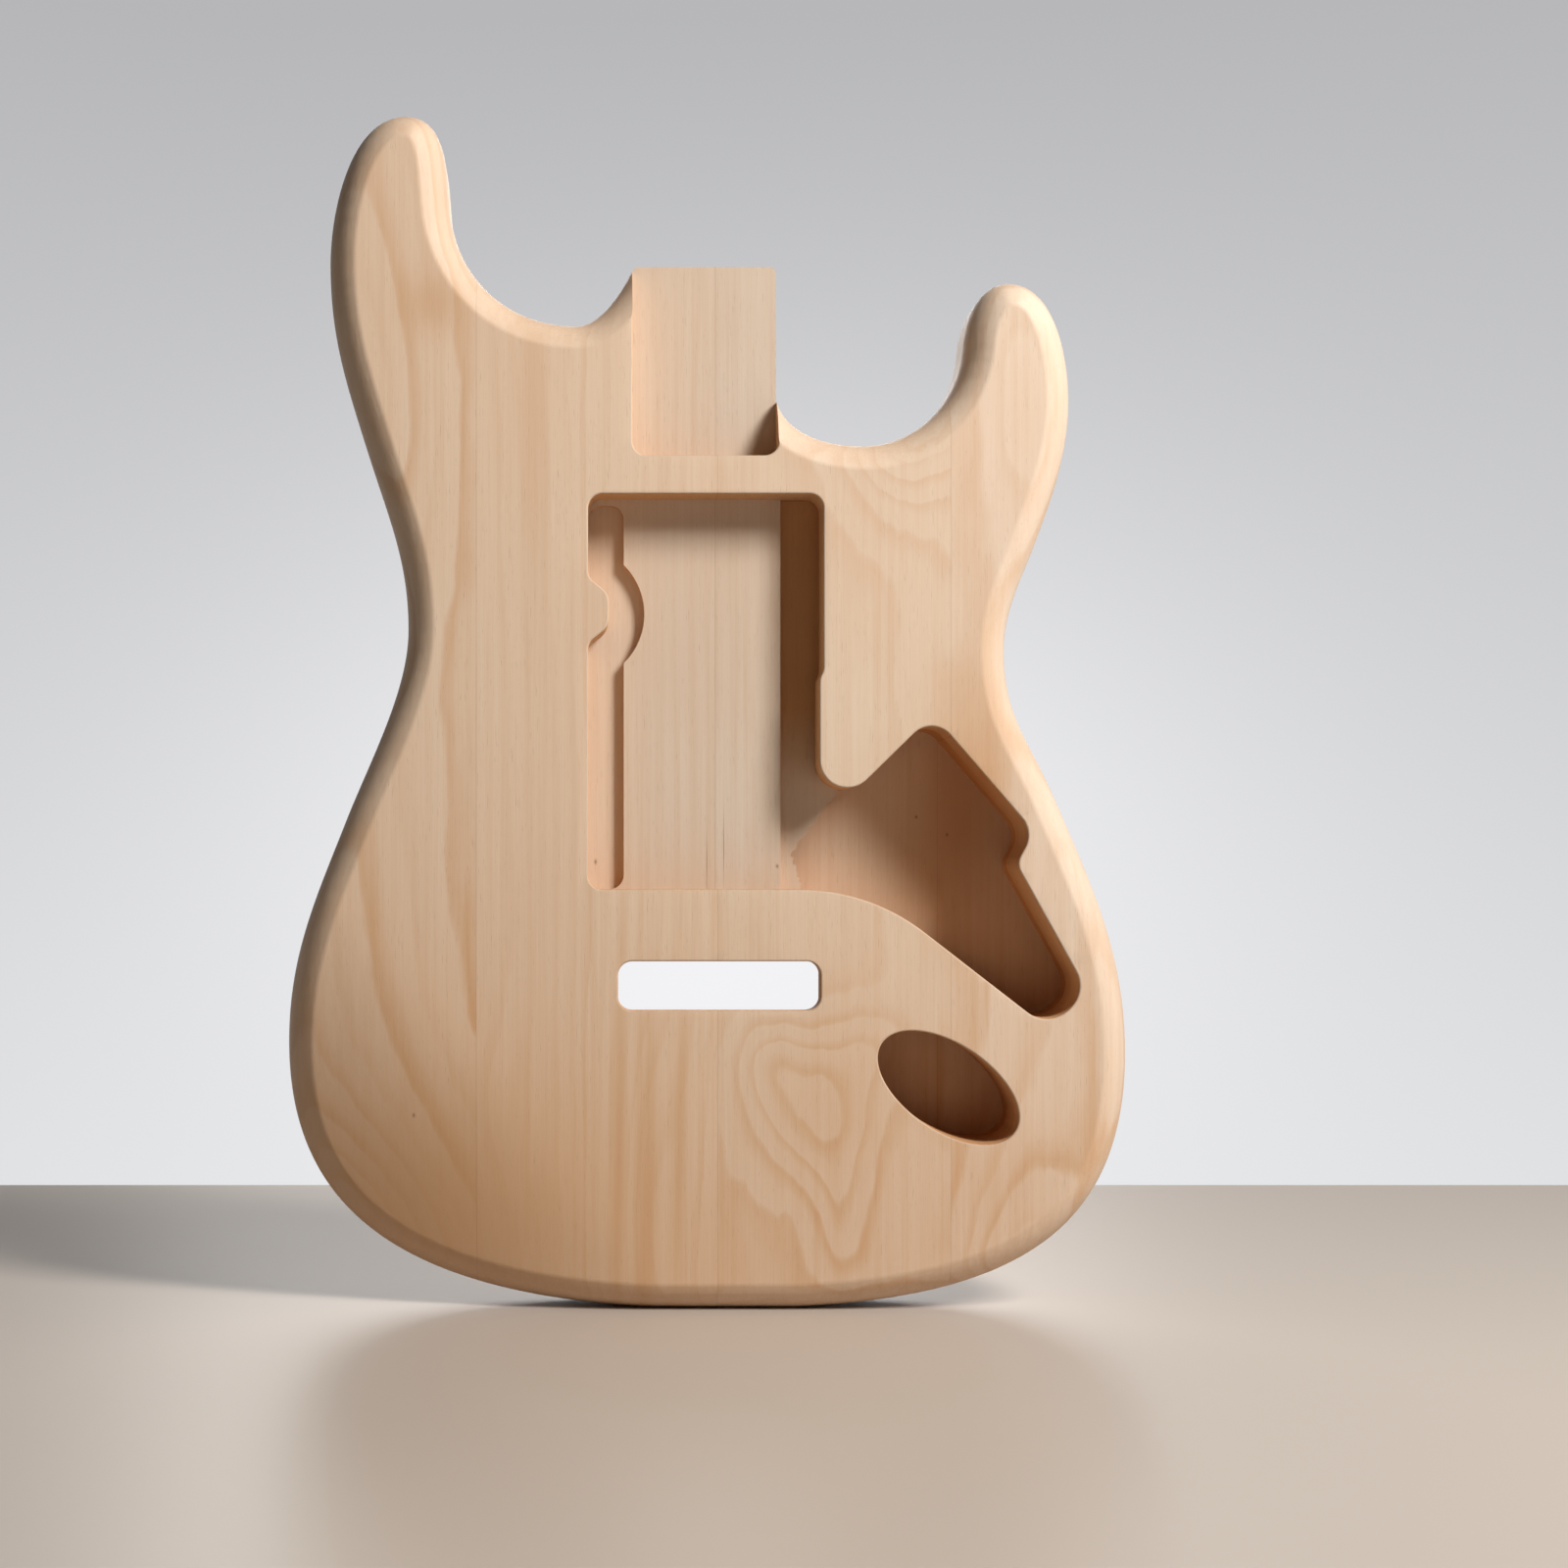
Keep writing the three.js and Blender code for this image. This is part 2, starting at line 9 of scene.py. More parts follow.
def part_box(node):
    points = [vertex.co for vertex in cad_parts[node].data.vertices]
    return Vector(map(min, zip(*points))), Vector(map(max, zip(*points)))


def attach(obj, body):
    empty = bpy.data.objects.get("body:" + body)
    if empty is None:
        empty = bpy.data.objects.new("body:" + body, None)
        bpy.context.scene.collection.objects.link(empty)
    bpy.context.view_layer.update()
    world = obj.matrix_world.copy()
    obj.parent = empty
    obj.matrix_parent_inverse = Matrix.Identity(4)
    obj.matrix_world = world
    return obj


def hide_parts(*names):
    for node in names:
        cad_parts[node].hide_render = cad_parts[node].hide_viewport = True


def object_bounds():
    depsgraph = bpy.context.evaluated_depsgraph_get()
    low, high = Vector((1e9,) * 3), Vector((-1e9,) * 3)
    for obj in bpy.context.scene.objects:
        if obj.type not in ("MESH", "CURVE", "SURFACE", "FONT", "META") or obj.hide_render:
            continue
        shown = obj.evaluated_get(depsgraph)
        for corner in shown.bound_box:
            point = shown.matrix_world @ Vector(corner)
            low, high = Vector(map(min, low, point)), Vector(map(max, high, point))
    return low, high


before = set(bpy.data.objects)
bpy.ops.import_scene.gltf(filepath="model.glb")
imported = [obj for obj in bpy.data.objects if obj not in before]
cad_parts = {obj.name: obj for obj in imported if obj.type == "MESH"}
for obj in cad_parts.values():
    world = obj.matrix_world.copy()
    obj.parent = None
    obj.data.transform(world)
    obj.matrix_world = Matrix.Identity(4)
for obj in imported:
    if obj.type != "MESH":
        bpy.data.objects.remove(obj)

cad_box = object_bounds()

# Millimetres throughout, as the CAD model's drawing has them: x towards the treble side, y up from the butt
# and z out of the front face, measured from the middle of the thickness.
MM_PER_METRE = 1000
LENGTH = cad_box[1].z * MM_PER_METRE
WIDTH = (cad_box[1].x - cad_box[0].x) * MM_PER_METRE
FRONT = -cad_box[0].y * MM_PER_METRE
BACK = -FRONT

# The rounded edge is an arc up to a slope of EDGE_CREASE, and then a smaller arc, half of it on each side of
# the line where the edge seems to begin, EDGE_RADIUS in from the side. The tongue's back edge has EDGE_RADIUS
# alone.
EDGE_RADIUS = 10.5
EDGE_CREASE = math.radians(20)
EDGE_BLEND = 5
EDGE_ARC = (EDGE_RADIUS - EDGE_BLEND * math.sin(EDGE_CREASE) / 2) / (1 - math.sin(EDGE_CREASE))
EDGE_DEPTH = EDGE_ARC * math.cos(EDGE_CREASE) + EDGE_BLEND * (1 - math.cos(EDGE_CREASE))

# The end of the tongue, as the frame has it, and the boards from the bass side to the treble side
TONGUE_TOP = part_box("bass_inner_board")[1].z * MM_PER_METRE
BOARDS = ("bass_outer_board", "bass_inner_board", "treble_inner_board", "treble_outer_board")

# The neck pocket
NECK_AXIS = -0.66
TONGUE_WIDTH = 56
TONGUE_CORNER_RADIUS = 2.5
POCKET_LENGTH = 75.5
POCKET_DEPTH = 16
TREBLE_CHEEK_DROP = 52.8

# The pickup rout, its two channels, the step in its treble wall and the tab on its bass wall
POCKET_TO_ROUT = 14.7
ROUT_WIDTH = 90
ROUT_LENGTH = 151.4
ROUT_DEPTH = 17.5
ROUT_CORNER_RADIUS = 5.5
CHANNEL_DEPTH = 21.5
BASS_CHANNEL_WIDTH = 14
TREBLE_CHANNEL_WIDTH = 15.1
CHANNEL_END_GAP = 2.3
ROUT_STEP_IN = 1.5
ROUT_STEP_DROP = 67.7
ROUT_STEP_LENGTH = 3
ROUT_STEP_RADIUS = 6
TAB_REACH = 8
TAB_HEIGHT = 25.3
TAB_DROP = 31.8
TAB_ROOT_RADIUS = 5
TAB_TIP_RADIUS = 7
TAB_SLOPE_SHARE = 0.25
BULGE_HEIGHT = 38.2

# The control cavity: its corners as shares of its reach and length, with the radius of each
CONTROL_DEPTH = 38
CONTROL_REACH = 99.4
CONTROL_LENGTH = 112.1
CONTROL_SHARES = (
    (0.192, 0, 77.7),
    (0.879, -0.473, 12),
    (1.032, -0.3535, 12),
    (0.757, 0.086, 6),
    (0.823, 0.197, 11),
    (0.435, 0.595, 9.5),
    (0, 0.2175, 10.5),
)
LEDGE_REACH = 9
LEDGE_RISE = 14

# The tremolo slot, and the block and spring cavities on the back
SLOT_WIDTH = 77.5
SLOT_HEIGHT = 18.9
SLOT_OFFSET = 5.2
SLOT_DROP = 36.9
SLOT_CORNER_RADIUS = 5.5
BLOCK_WIDTH = 84
BLOCK_HEIGHT = 32
BLOCK_OFFSET = 3.8
BLOCK_DEPTH = 36
SPRING_WIDTH = 57
SPRING_LENGTH = 90
SPRING_DEPTH = 16
BACK_CORNER_RADIUS = 6

# The jack cavity, and the wire bores
JACK_INSET = 70.15
JACK_RISE = 85.8
JACK_LENGTH = 61
JACK_WIDTH = 32.8
JACK_TILT = -33.75
JACK_DEPTH = 38
BORE_DIAMETER = 8
JACK_BORE_DEPTH = 30

# The two contours, as in the CAD model
ARM_CONTOUR = {
    "inset": 80.75,
    "rise_share": 0.1807,
    "line_angle": -49.3,
    "width": 75,
    "depth": 17,
    "reach": math.inf,
    "slope_share": 0.18,
}
BELLY_CONTOUR = {
    "inset": 98.25,
    "rise_share": 0.63,
    "line_angle": -84,
    "width": 52,
    "depth": 14,
    "reach": 88,
    "slope_share": 0.1,
}

# The outline: each knot's share of half the width and of the length, the heading of the edge there, and the
# lengths of the curve's handles before and after it as shares of the distance to its neighbour
OUTLINE_SHARES = (
    (-0.309, 0.824, 180, 0.30, 0.40),
    (-0.610, 0.920, 95.5, 0.39, 0.38),
    (-0.715, 1, 180, 0.40, 0.34),
    (-0.896, 0.876, 270, 0.32, 0.38),
    (-0.8055, 0.717, 287.5, 0.38, 0.38),
    (-0.710, 0.569, 270, 0.38, 0.30),
    (-0.859, 0.408, 248.5, 0.33, 0.37),
    (-1, 0.215, 270, 0.38, 0.432),
    (-0.15, 0, 357.4, 0.482, 0),
    (0.216, 0, 2.8, 0, 0.517),
    (1, 0.2135, 90, 0.435, 0.37),
    (0.832, 0.427, 113.5, 0.37, 0.41),
    (0.711, 0.551, 90, 0.42, 0.36),
    (0.786, 0.642, 69.5, 0.36, 0.35),
    (0.865, 0.761, 90, 0.35, 0.32),
    (0.720, 0.8596, 180, 0.36, 0.38),
    (0.613, 0.805, 266, 0.36, 0.40),
    (0.376, 0.7234, 180, 0.36, 0.33),
)
BASS_CHEEK_HEADING = 244.5
BASS_CHEEK_LEAVE_SHARE = 0.29
TREBLE_CHEEK_HEADING = 106
TREBLE_CHEEK_ARRIVE_SHARE = 0.38

# How finely the shapes are cut: the longest step along a curve, the largest turn in degrees in a curve and in
# a fillet, the levels of the edges, the grid on the faces and the sides of a bore. HEIGHT_SLACK is how far a
# level may be off, MERGE_DISTANCE, in metres, how near a cut runs through a point, and SHARP_ANGLE, in
# degrees, the turn from which an edge stays sharp.
CURVE_STEP = 2.5
CURVE_TURN = 4
FILLET_TURN = 8
EDGE_STEPS = 11
BLEND_STEPS = 4
RIM_STEPS = 4
FACE_GRID = 7
BORE_SIDES = 48
HEIGHT_SLACK = 0.1
MERGE_DISTANCE = 1e-6
SHARP_ANGLE = 32

# How far a sander softens a routed edge, how the ledge is torn, how far cutters run over, and how far the
# body first runs past the neck pocket's cheeks
RIM_RADIUS = 0.7
RAGGED_STEP = 1.1
RAGGED_DEPTH = 0.7
OVERRUN = 5
CHEEK_OVERRUN = 16

# Places that follow
TONGUE_LEFT = NECK_AXIS - TONGUE_WIDTH / 2
TONGUE_RIGHT = NECK_AXIS + TONGUE_WIDTH / 2
POCKET_FLOOR = FRONT - POCKET_DEPTH
POCKET_END = TONGUE_TOP - POCKET_LENGTH
BASS_CHEEK_TOP = TONGUE_TOP - TONGUE_CORNER_RADIUS
TREBLE_CHEEK_TOP = TONGUE_TOP - TREBLE_CHEEK_DROP
ROUT_LEFT = NECK_AXIS - ROUT_WIDTH / 2
ROUT_RIGHT = NECK_AXIS + ROUT_WIDTH / 2
ROUT_TOP = POCKET_END - POCKET_TO_ROUT
ROUT_BOTTOM = ROUT_TOP - ROUT_LENGTH
ROUT_LOWER_RIGHT = ROUT_RIGHT - ROUT_STEP_IN
CONTROL_FLOOR = FRONT - CONTROL_DEPTH
SPRING_FLOOR = BACK + SPRING_DEPTH
SLOT_RISE = ROUT_BOTTOM - SLOT_DROP
BLOCK_RISE = SLOT_RISE + BLOCK_OFFSET
SPRING_TOP = BLOCK_RISE + BLOCK_HEIGHT / 2 + SPRING_LENGTH
JACK_ACROSS = WIDTH / 2 - JACK_INSET


def place(x, y, z):
    """A point of the drawing as a point of the scene, in metres."""
    return Vector((x, -z, y)) / MM_PER_METRE


def direction(angle):
    return Vector((math.cos(math.radians(angle)), math.sin(math.radians(angle))))


def link(obj):
    bpy.context.scene.collection.objects.link(obj)
    return obj


def bezier(start, start_handle, end_handle, end, steps):
    points = []
    for i in range(steps + 1):
        t = i / steps
        s = 1 - t
        points.append(
            start * s ** 3 + start_handle * 3 * s * s * t + end_handle * 3 * s * t * t + end * t ** 3
        )
    return points


def outline_points():
    """The outline of the body from cheek to cheek, anticlockwise: smooth curves through the knots."""
    knots = [(Vector((TONGUE_LEFT, BASS_CHEEK_TOP)), BASS_CHEEK_HEADING, 0, BASS_CHEEK_LEAVE_SHARE)]
    for across, rise, heading, arrive, leave in OUTLINE_SHARES:
        knots.append((Vector((across * WIDTH / 2, rise * LENGTH)), heading, arrive, leave))
    treble_cheek = Vector((TONGUE_RIGHT, TREBLE_CHEEK_TOP))
    knots.append((treble_cheek, TREBLE_CHEEK_HEADING, TREBLE_CHEEK_ARRIVE_SHARE, 0))
    points = [knots[0][0]]
    for (start, leaving, _, leave), (end, arriving, arrive, _) in zip(knots, knots[1:]):
        chord = (end - start).length
        turn = abs((arriving - leaving + 180) % 360 - 180)
        steps = math.ceil(max(chord / CURVE_STEP, turn / CURVE_TURN))
        start_handle = start + direction(leaving) * chord * leave
        end_handle = end - direction(arriving) * chord * arrive
        points += bezier(start, start_handle, end_handle, end, steps)[1:]
    return points


def fillet(before, corner, after, radius):
    """The points of a fillet at a corner, held to half of the shorter side beside it."""
    if radius == 0:
        return [corner]
    inward = before - corner
    outward = after - corner
    room = min(inward.length, outward.length) / 2
    half_angle = inward.angle(outward) / 2
    held = min(radius, room * math.tan(half_angle))
    bisector = (inward.normalized() + outward.normalized()).normalized()
    centre = corner + bisector * held / math.sin(half_angle)
    start = corner + inward.normalized() * held / math.tan(half_angle) - centre
    turn = math.pi - 2 * half_angle
    sweep = math.copysign(turn, outward.x * inward.y - outward.y * inward.x)
    steps = math.ceil(max(math.degrees(turn) / FILLET_TURN, turn * held / CURVE_STEP))
    return [centre + Matrix.Rotation(sweep * i / steps, 2) @ start for i in range(steps + 1)]


def fillet_corners(corners):
    """One list of fillet points for each corner (x, y, radius) of a closed outline."""
    points = [Vector((x, y)) for x, y, _ in corners]
    count = len(corners)
    return [
        fillet(points[i - 1], points[i], points[(i + 1) % count], corners[i][2]) for i in range(count)
    ]


def flat(lists):
    return [point for points in lists for point in points]


def rectangle(left, right, bottom, top, radius):
    return flat(fillet_corners([
        (left, bottom, radius),
        (right, bottom, radius),
        (right, top, radius),
        (left, top, radius),
    ]))


def inward_normals(points):
    """For each point of an anticlockwise outline, how far it moves where all its edges move in by 1."""
    normals = []
    for i, point in enumerate(points):
        arriving = (point - points[i - 1]).normalized()
        leaving = (points[(i + 1) % len(points)] - point).normalized()
        normal = Vector((-arriving.y - leaving.y, arriving.x + leaving.x))
        normals.append(normal / (1 + arriving.dot(leaving)))
    return normals


def ringed_mesh(name, points, levels):
    """A closed mesh through copies of an outline, one for each (height, inset), from low to high."""
    normals = inward_normals(points)
    mesh = bmesh.new()
    rings = []
    for height, inset in levels:
        moved = [point + normal * inset for point, normal in zip(points, normals)]
        rings.append([mesh.verts.new(place(point.x, point.y, height)) for point in moved])
    for low, high in zip(rings, rings[1:]):
        for k in range(len(points)):
            mesh.faces.new((low[k - 1], low[k], high[k], high[k - 1]))
    mesh.faces.new(rings[0][::-1])
    mesh.faces.new(rings[-1])
    return finished(name, mesh)


def finished(name, mesh):
    data = bpy.data.meshes.new(name)
    mesh.to_mesh(data)
    mesh.free()
    return link(bpy.data.objects.new(name, data))


def quarter(steps):
    """(how far up, how far in) along a quarter circle of radius 1, from its side to its top."""
    angles = [math.pi / 2 * i / steps for i in range(steps + 1)]
    return [(math.sin(angle), 1 - math.cos(angle)) for angle in angles]


def edge_levels():
    """(height, inset) up the rounded edge of the front, from the upright side to the face."""
    levels = [(FRONT - EDGE_DEPTH, 0)]
    turn = math.pi / 2 - EDGE_CREASE
    for radius, start, sweep, steps in (
        (EDGE_ARC, 0, turn, EDGE_STEPS),
        (EDGE_BLEND, turn, EDGE_CREASE, BLEND_STEPS),
    ):
        height, inset = levels[-1]
        angles = [start + sweep * i / steps for i in range(1, steps + 1)]
        levels += [
            (
                height + radius * (math.sin(angle) - math.sin(start)),
                inset + radius * (math.cos(start) - math.cos(angle)),
            )
            for angle in angles
        ]
    return levels


def slab():
    """The whole thickness of the body with rounded edges, run on past both cheeks of the neck pocket."""
    outline = outline_points()
    bass_end = outline[0] - direction(BASS_CHEEK_HEADING) * CHEEK_OVERRUN
    treble_end = Vector((TONGUE_RIGHT, TONGUE_TOP + CHEEK_OVERRUN))
    levels = edge_levels()
    levels = [(-height, inset) for height, inset in reversed(levels)] + levels
    body = ringed_mesh("body", [bass_end, *outline, treble_end], levels)
    mesh = bmesh.new()
    mesh.from_mesh(body.data)
    cut_into_grid(mesh, Vector((1, 0, 0)), -WIDTH / 2, WIDTH / 2)
    cut_into_grid(mesh, Vector((0, 0, 1)), 0, LENGTH)
    bmesh.ops.triangulate(mesh, faces=mesh.faces)
    for vertex in mesh.verts:
        sink_into_contours(vertex)
    mesh.to_mesh(body.data)
    mesh.free()
    return body


def cut_into_grid(mesh, axis, low, high):
    """Cuts the faces along planes across an axis, so that the contours have points to bend at."""
    for i in range(1, math.ceil((high - low) / FACE_GRID)):
        whole = [*mesh.verts, *mesh.edges, *mesh.faces]
        point = axis * (low + i * FACE_GRID) / MM_PER_METRE
        bmesh.ops.bisect_plane(mesh, geom=whole, plane_co=point, plane_no=axis, dist=MERGE_DISTANCE)


def sink_into_contours(vertex):
    """Moves a point of the front or back face, or of its rounded edge, down into the contour there."""
    x, y, z = vertex.co.x * MM_PER_METRE, vertex.co.z * MM_PER_METRE, -vertex.co.y * MM_PER_METRE
    if z > FRONT - EDGE_DEPTH - HEIGHT_SLACK:
        z -= max(0, contour_drop(ARM_CONTOUR, Vector((x, y))))
    elif z < BACK + EDGE_DEPTH + HEIGHT_SLACK:
        z += max(0, contour_drop(BELLY_CONTOUR, Vector((x, y))))
    vertex.co = place(x, y, z)


def contour_drop(contour, point):
    """How far a contour lies below the face at a point, negative where it would lie above it."""
    start = Vector((contour["inset"] - WIDTH / 2, contour["rise_share"] * LENGTH))
    line = direction(contour["line_angle"])
    offset = point - start
    beyond = offset.x * line.y - offset.y * line.x
    deepening = steepening(contour, beyond / contour["width"])
    share = 1 - (offset.dot(line) / contour["reach"]) ** 2
    fading = steepening(contour, share) if deepening > 0 else 1
    return contour["depth"] * deepening * fading


def steepening(contour, share):
    return share * (contour["slope_share"] + (1 - contour["slope_share"]) * abs(share))


def front_cutter(name, points, floor):
    """What a router takes out from the front, with the edge softened."""
    levels = [(floor, 0)]
    for up, inset in quarter(RIM_STEPS):
        levels.append((FRONT - RIM_RADIUS * (1 - up), -RIM_RADIUS * inset))
    levels.append((FRONT + OVERRUN, -RIM_RADIUS))
    return ringed_mesh(name, points, levels)


def back_cutter(name, points, ceiling):
    """What a router takes out from the back, with the edge softened."""
    levels = [(BACK - OVERRUN, -RIM_RADIUS)]
    for up, inset in reversed(quarter(RIM_STEPS)):
        levels.append((BACK + RIM_RADIUS * (1 - up), -RIM_RADIUS * inset))
    levels.append((ceiling, 0))
    return ringed_mesh(name, points, levels)


def plain_cutter(name, points, low, high):
    return ringed_mesh(name, points, [(low, 0), (high, 0)])


def rout_walls():
    """The fillet points of the corners of the front rout, from its upper bass corner anticlockwise."""
    tab_top = ROUT_TOP - TAB_DROP
    tab_bottom = tab_top - TAB_HEIGHT
    tab_tip = ROUT_LEFT + TAB_REACH
    step_top = ROUT_TOP - ROUT_STEP_DROP
    bass = [
        (ROUT_LEFT, tab_top, TAB_ROOT_RADIUS),
        (tab_tip, tab_top - TAB_HEIGHT * TAB_SLOPE_SHARE, TAB_TIP_RADIUS),
        (tab_tip, tab_bottom + TAB_HEIGHT * TAB_SLOPE_SHARE, TAB_TIP_RADIUS),
        (ROUT_LEFT, tab_bottom, TAB_ROOT_RADIUS),
        (ROUT_LEFT, ROUT_BOTTOM, ROUT_CORNER_RADIUS),
    ]
    control = [
        (ROUT_LOWER_RIGHT + across * CONTROL_REACH, ROUT_BOTTOM + rise * CONTROL_LENGTH, radius)
        for across, rise, radius in CONTROL_SHARES
    ]
    treble = [
        (ROUT_LOWER_RIGHT, step_top - ROUT_STEP_LENGTH, ROUT_STEP_RADIUS),
        (ROUT_RIGHT, step_top, ROUT_STEP_RADIUS),
        (ROUT_RIGHT, ROUT_TOP, ROUT_CORNER_RADIUS),
    ]
    top, *fillets = fillet_corners([(ROUT_LEFT, ROUT_TOP, ROUT_CORNER_RADIUS), *bass, *control, *treble])
    middle = len(bass) + len(control)
    sweep, *control_walls, peninsula = fillets[len(bass):middle]
    return {
        "top": top,
        "bass": flat(fillets[:len(bass)]),
        "sweep": sweep,
        "control": control_walls,
        "peninsula": peninsula,
        "treble": flat(fillets[middle:]),
    }


def bass_channel_points(bass_wall):
    right = ROUT_LEFT + BASS_CHANNEL_WIDTH
    top = ROUT_TOP - CHANNEL_END_GAP
    lower_right, upper_right, upper_left, _ = fillet_corners([
        (right, ROUT_BOTTOM, ROUT_CORNER_RADIUS),
        (right, top, ROUT_CORNER_RADIUS),
        (ROUT_LEFT, top, ROUT_CORNER_RADIUS),
        (ROUT_LEFT, ROUT_BOTTOM, ROUT_CORNER_RADIUS),
    ])
    middle = ROUT_TOP - TAB_DROP - TAB_HEIGHT / 2
    half_height = BULGE_HEIGHT / 2
    radius = (half_height ** 2 + TAB_REACH ** 2) / (2 * TAB_REACH)
    half_sweep = math.asin(half_height / radius)
    steps = math.ceil(2 * math.degrees(half_sweep) / CURVE_TURN)
    centre = Vector((right + TAB_REACH - radius, middle))
    bulge = [
        centre + direction(math.degrees(half_sweep) * (2 * i / steps - 1)) * radius for i in range(steps + 1)
    ]
    return [*upper_left, *bass_wall, *lower_right, *bulge, *upper_right]


def front_cutters():
    walls = rout_walls()
    sweep, peninsula = walls["sweep"], walls["peninsula"]
    control = flat(walls["control"])
    plateau = [*walls["top"], *walls["bass"], *sweep, *control, *peninsula, *walls["treble"]]
    treble_left = ROUT_RIGHT - TREBLE_CHANNEL_WIDTH
    treble_channel = [
        Vector((treble_left, ROUT_BOTTOM)),
        *sweep,
        *peninsula,
        *walls["treble"],
        Vector((treble_left, ROUT_TOP)),
    ]
    pocket = flat(fillet_corners([
        (TONGUE_LEFT, POCKET_END, ROUT_CORNER_RADIUS),
        (TONGUE_RIGHT, POCKET_END, ROUT_CORNER_RADIUS),
        (TONGUE_RIGHT, TREBLE_CHEEK_TOP, 0),
        (TONGUE_RIGHT + OVERRUN, TREBLE_CHEEK_TOP + RIM_RADIUS, 0),
        (TONGUE_RIGHT + OVERRUN, TONGUE_TOP + CHEEK_OVERRUN + OVERRUN, 0),
        (TONGUE_LEFT, TONGUE_TOP + CHEEK_OVERRUN + OVERRUN, 0),
    ]))
    slot_across = NECK_AXIS + SLOT_OFFSET
    slot = rectangle(
        slot_across - SLOT_WIDTH / 2,
        slot_across + SLOT_WIDTH / 2,
        SLOT_RISE - SLOT_HEIGHT / 2,
        SLOT_RISE + SLOT_HEIGHT / 2,
        SLOT_CORNER_RADIUS,
    )
    return [
        front_cutter("pocket_cutter", pocket, POCKET_FLOOR),
        front_cutter("plateau_cutter", plateau, FRONT - ROUT_DEPTH),
        plain_cutter("bass_channel_cutter", bass_channel_points(walls["bass"]), FRONT - CHANNEL_DEPTH, FRONT),
        plain_cutter("treble_channel_cutter", treble_channel, FRONT - CHANNEL_DEPTH, FRONT),
        plain_cutter("control_cutter", control_points(walls), CONTROL_FLOOR, FRONT),
        front_cutter("slot_cutter", slot, 0),
        front_cutter("jack_cutter", jack_points(), FRONT - JACK_DEPTH),
    ]


def control_points(walls):
    """The deep part of the control cavity: its outer walls, and the ledge where its cutter broke through."""
    sweep, peninsula = walls["sweep"], walls["peninsula"]
    lowest = min(range(len(peninsula)), key=lambda i: peninsula[i].y)
    tip = Vector((ROUT_LOWER_RIGHT - LEDGE_REACH, ROUT_BOTTOM + LEDGE_RISE))
    ledge = [*ragged(peninsula[lowest], tip), *ragged(tip, sweep[1])]
    return [*sweep[1:], *flat(walls["control"]), *peninsula[:lowest], *ledge]


def ragged(start, end):
    """Points along a torn edge, from its start to just before its end."""
    chance = random.Random(round(start.y))
    steps = math.ceil((end - start).length / RAGGED_STEP)
    across = Vector((start.y - end.y, end.x - start.x)).normalized()
    torn = [start + (end - start) * i / steps for i in range(1, steps)]
    return [start, *[point + across * RAGGED_DEPTH * chance.uniform(-1, 1) for point in torn]]


def jack_points():
    steps = math.ceil(360 / CURVE_TURN)
    turned = Matrix.Rotation(math.radians(JACK_TILT), 2)
    centre = Vector((JACK_ACROSS, JACK_RISE))
    points = []
    for i in range(steps):
        along = direction(360 * i / steps)
        points.append(centre + turned @ Vector((along.x * JACK_LENGTH / 2, along.y * JACK_WIDTH / 2)))
    return points


def back_cutters():
    block_across = NECK_AXIS + SLOT_OFFSET
    block = rectangle(
        block_across - BLOCK_WIDTH / 2,
        block_across + BLOCK_WIDTH / 2,
        BLOCK_RISE - BLOCK_HEIGHT / 2,
        BLOCK_RISE + BLOCK_HEIGHT / 2,
        BACK_CORNER_RADIUS,
    )
    springs = rectangle(
        NECK_AXIS - SPRING_WIDTH / 2,
        NECK_AXIS + SPRING_WIDTH / 2,
        BLOCK_RISE,
        SPRING_TOP,
        BACK_CORNER_RADIUS,
    )
    return [
        back_cutter("block_cutter", block, BACK + BLOCK_DEPTH),
        back_cutter("spring_cutter", springs, SPRING_FLOOR),
    ]


def tongue_cutters():
    """What comes off the end of the tongue: all that lies past it, its back edge and its upright corners."""
    past = rectangle(TONGUE_LEFT, TONGUE_RIGHT + OVERRUN, TONGUE_TOP, LENGTH, 0)
    edge = -direction(BASS_CHEEK_HEADING)
    bass_corner = Vector((TONGUE_LEFT, BASS_CHEEK_TOP)) + edge * TONGUE_CORNER_RADIUS / edge.y
    treble_corner = Vector((TONGUE_RIGHT, TONGUE_TOP))
    below_treble = Vector((TONGUE_RIGHT, TREBLE_CHEEK_TOP))
    below_bass = bass_corner - edge * TONGUE_WIDTH
    return [
        plain_cutter("past_cutter", past, BACK - OVERRUN, FRONT),
        tongue_end_cutter(),
        corner_cutter("treble_corner_cutter", below_treble, treble_corner, bass_corner),
        corner_cutter("bass_corner_cutter", treble_corner, bass_corner, below_bass),
    ]


def corner_cutter(name, before, corner, after):
    arc = fillet(before, corner, after, TONGUE_CORNER_RADIUS)
    outside = corner + (corner - (arc[0] + arc[-1]) / 2).normalized() * OVERRUN
    return plain_cutter(name, [outside, *reversed(arc)], BACK - OVERRUN, FRONT + OVERRUN)


def tongue_end_cutter():
    """The rounding of the tongue's back edge, drawn from the side: (z, y)."""
    corner = Vector((BACK, TONGUE_TOP))
    arc = fillet(Vector((BACK, POCKET_END)), corner, Vector((FRONT, TONGUE_TOP)), EDGE_RADIUS)
    profile = [*arc, Vector((BACK - OVERRUN, TONGUE_TOP + OVERRUN))]
    mesh = bmesh.new()
    sides = []
    for x in (TONGUE_WIDTH, -TONGUE_WIDTH):
        sides.append([mesh.verts.new(place(x, point.y, point.x)) for point in profile])
    for k in range(len(profile)):
        mesh.faces.new((sides[0][k - 1], sides[0][k], sides[1][k], sides[1][k - 1]))
    mesh.faces.new(sides[0][::-1])
    mesh.faces.new(sides[1])
    return finished("tongue_end_cutter", mesh)


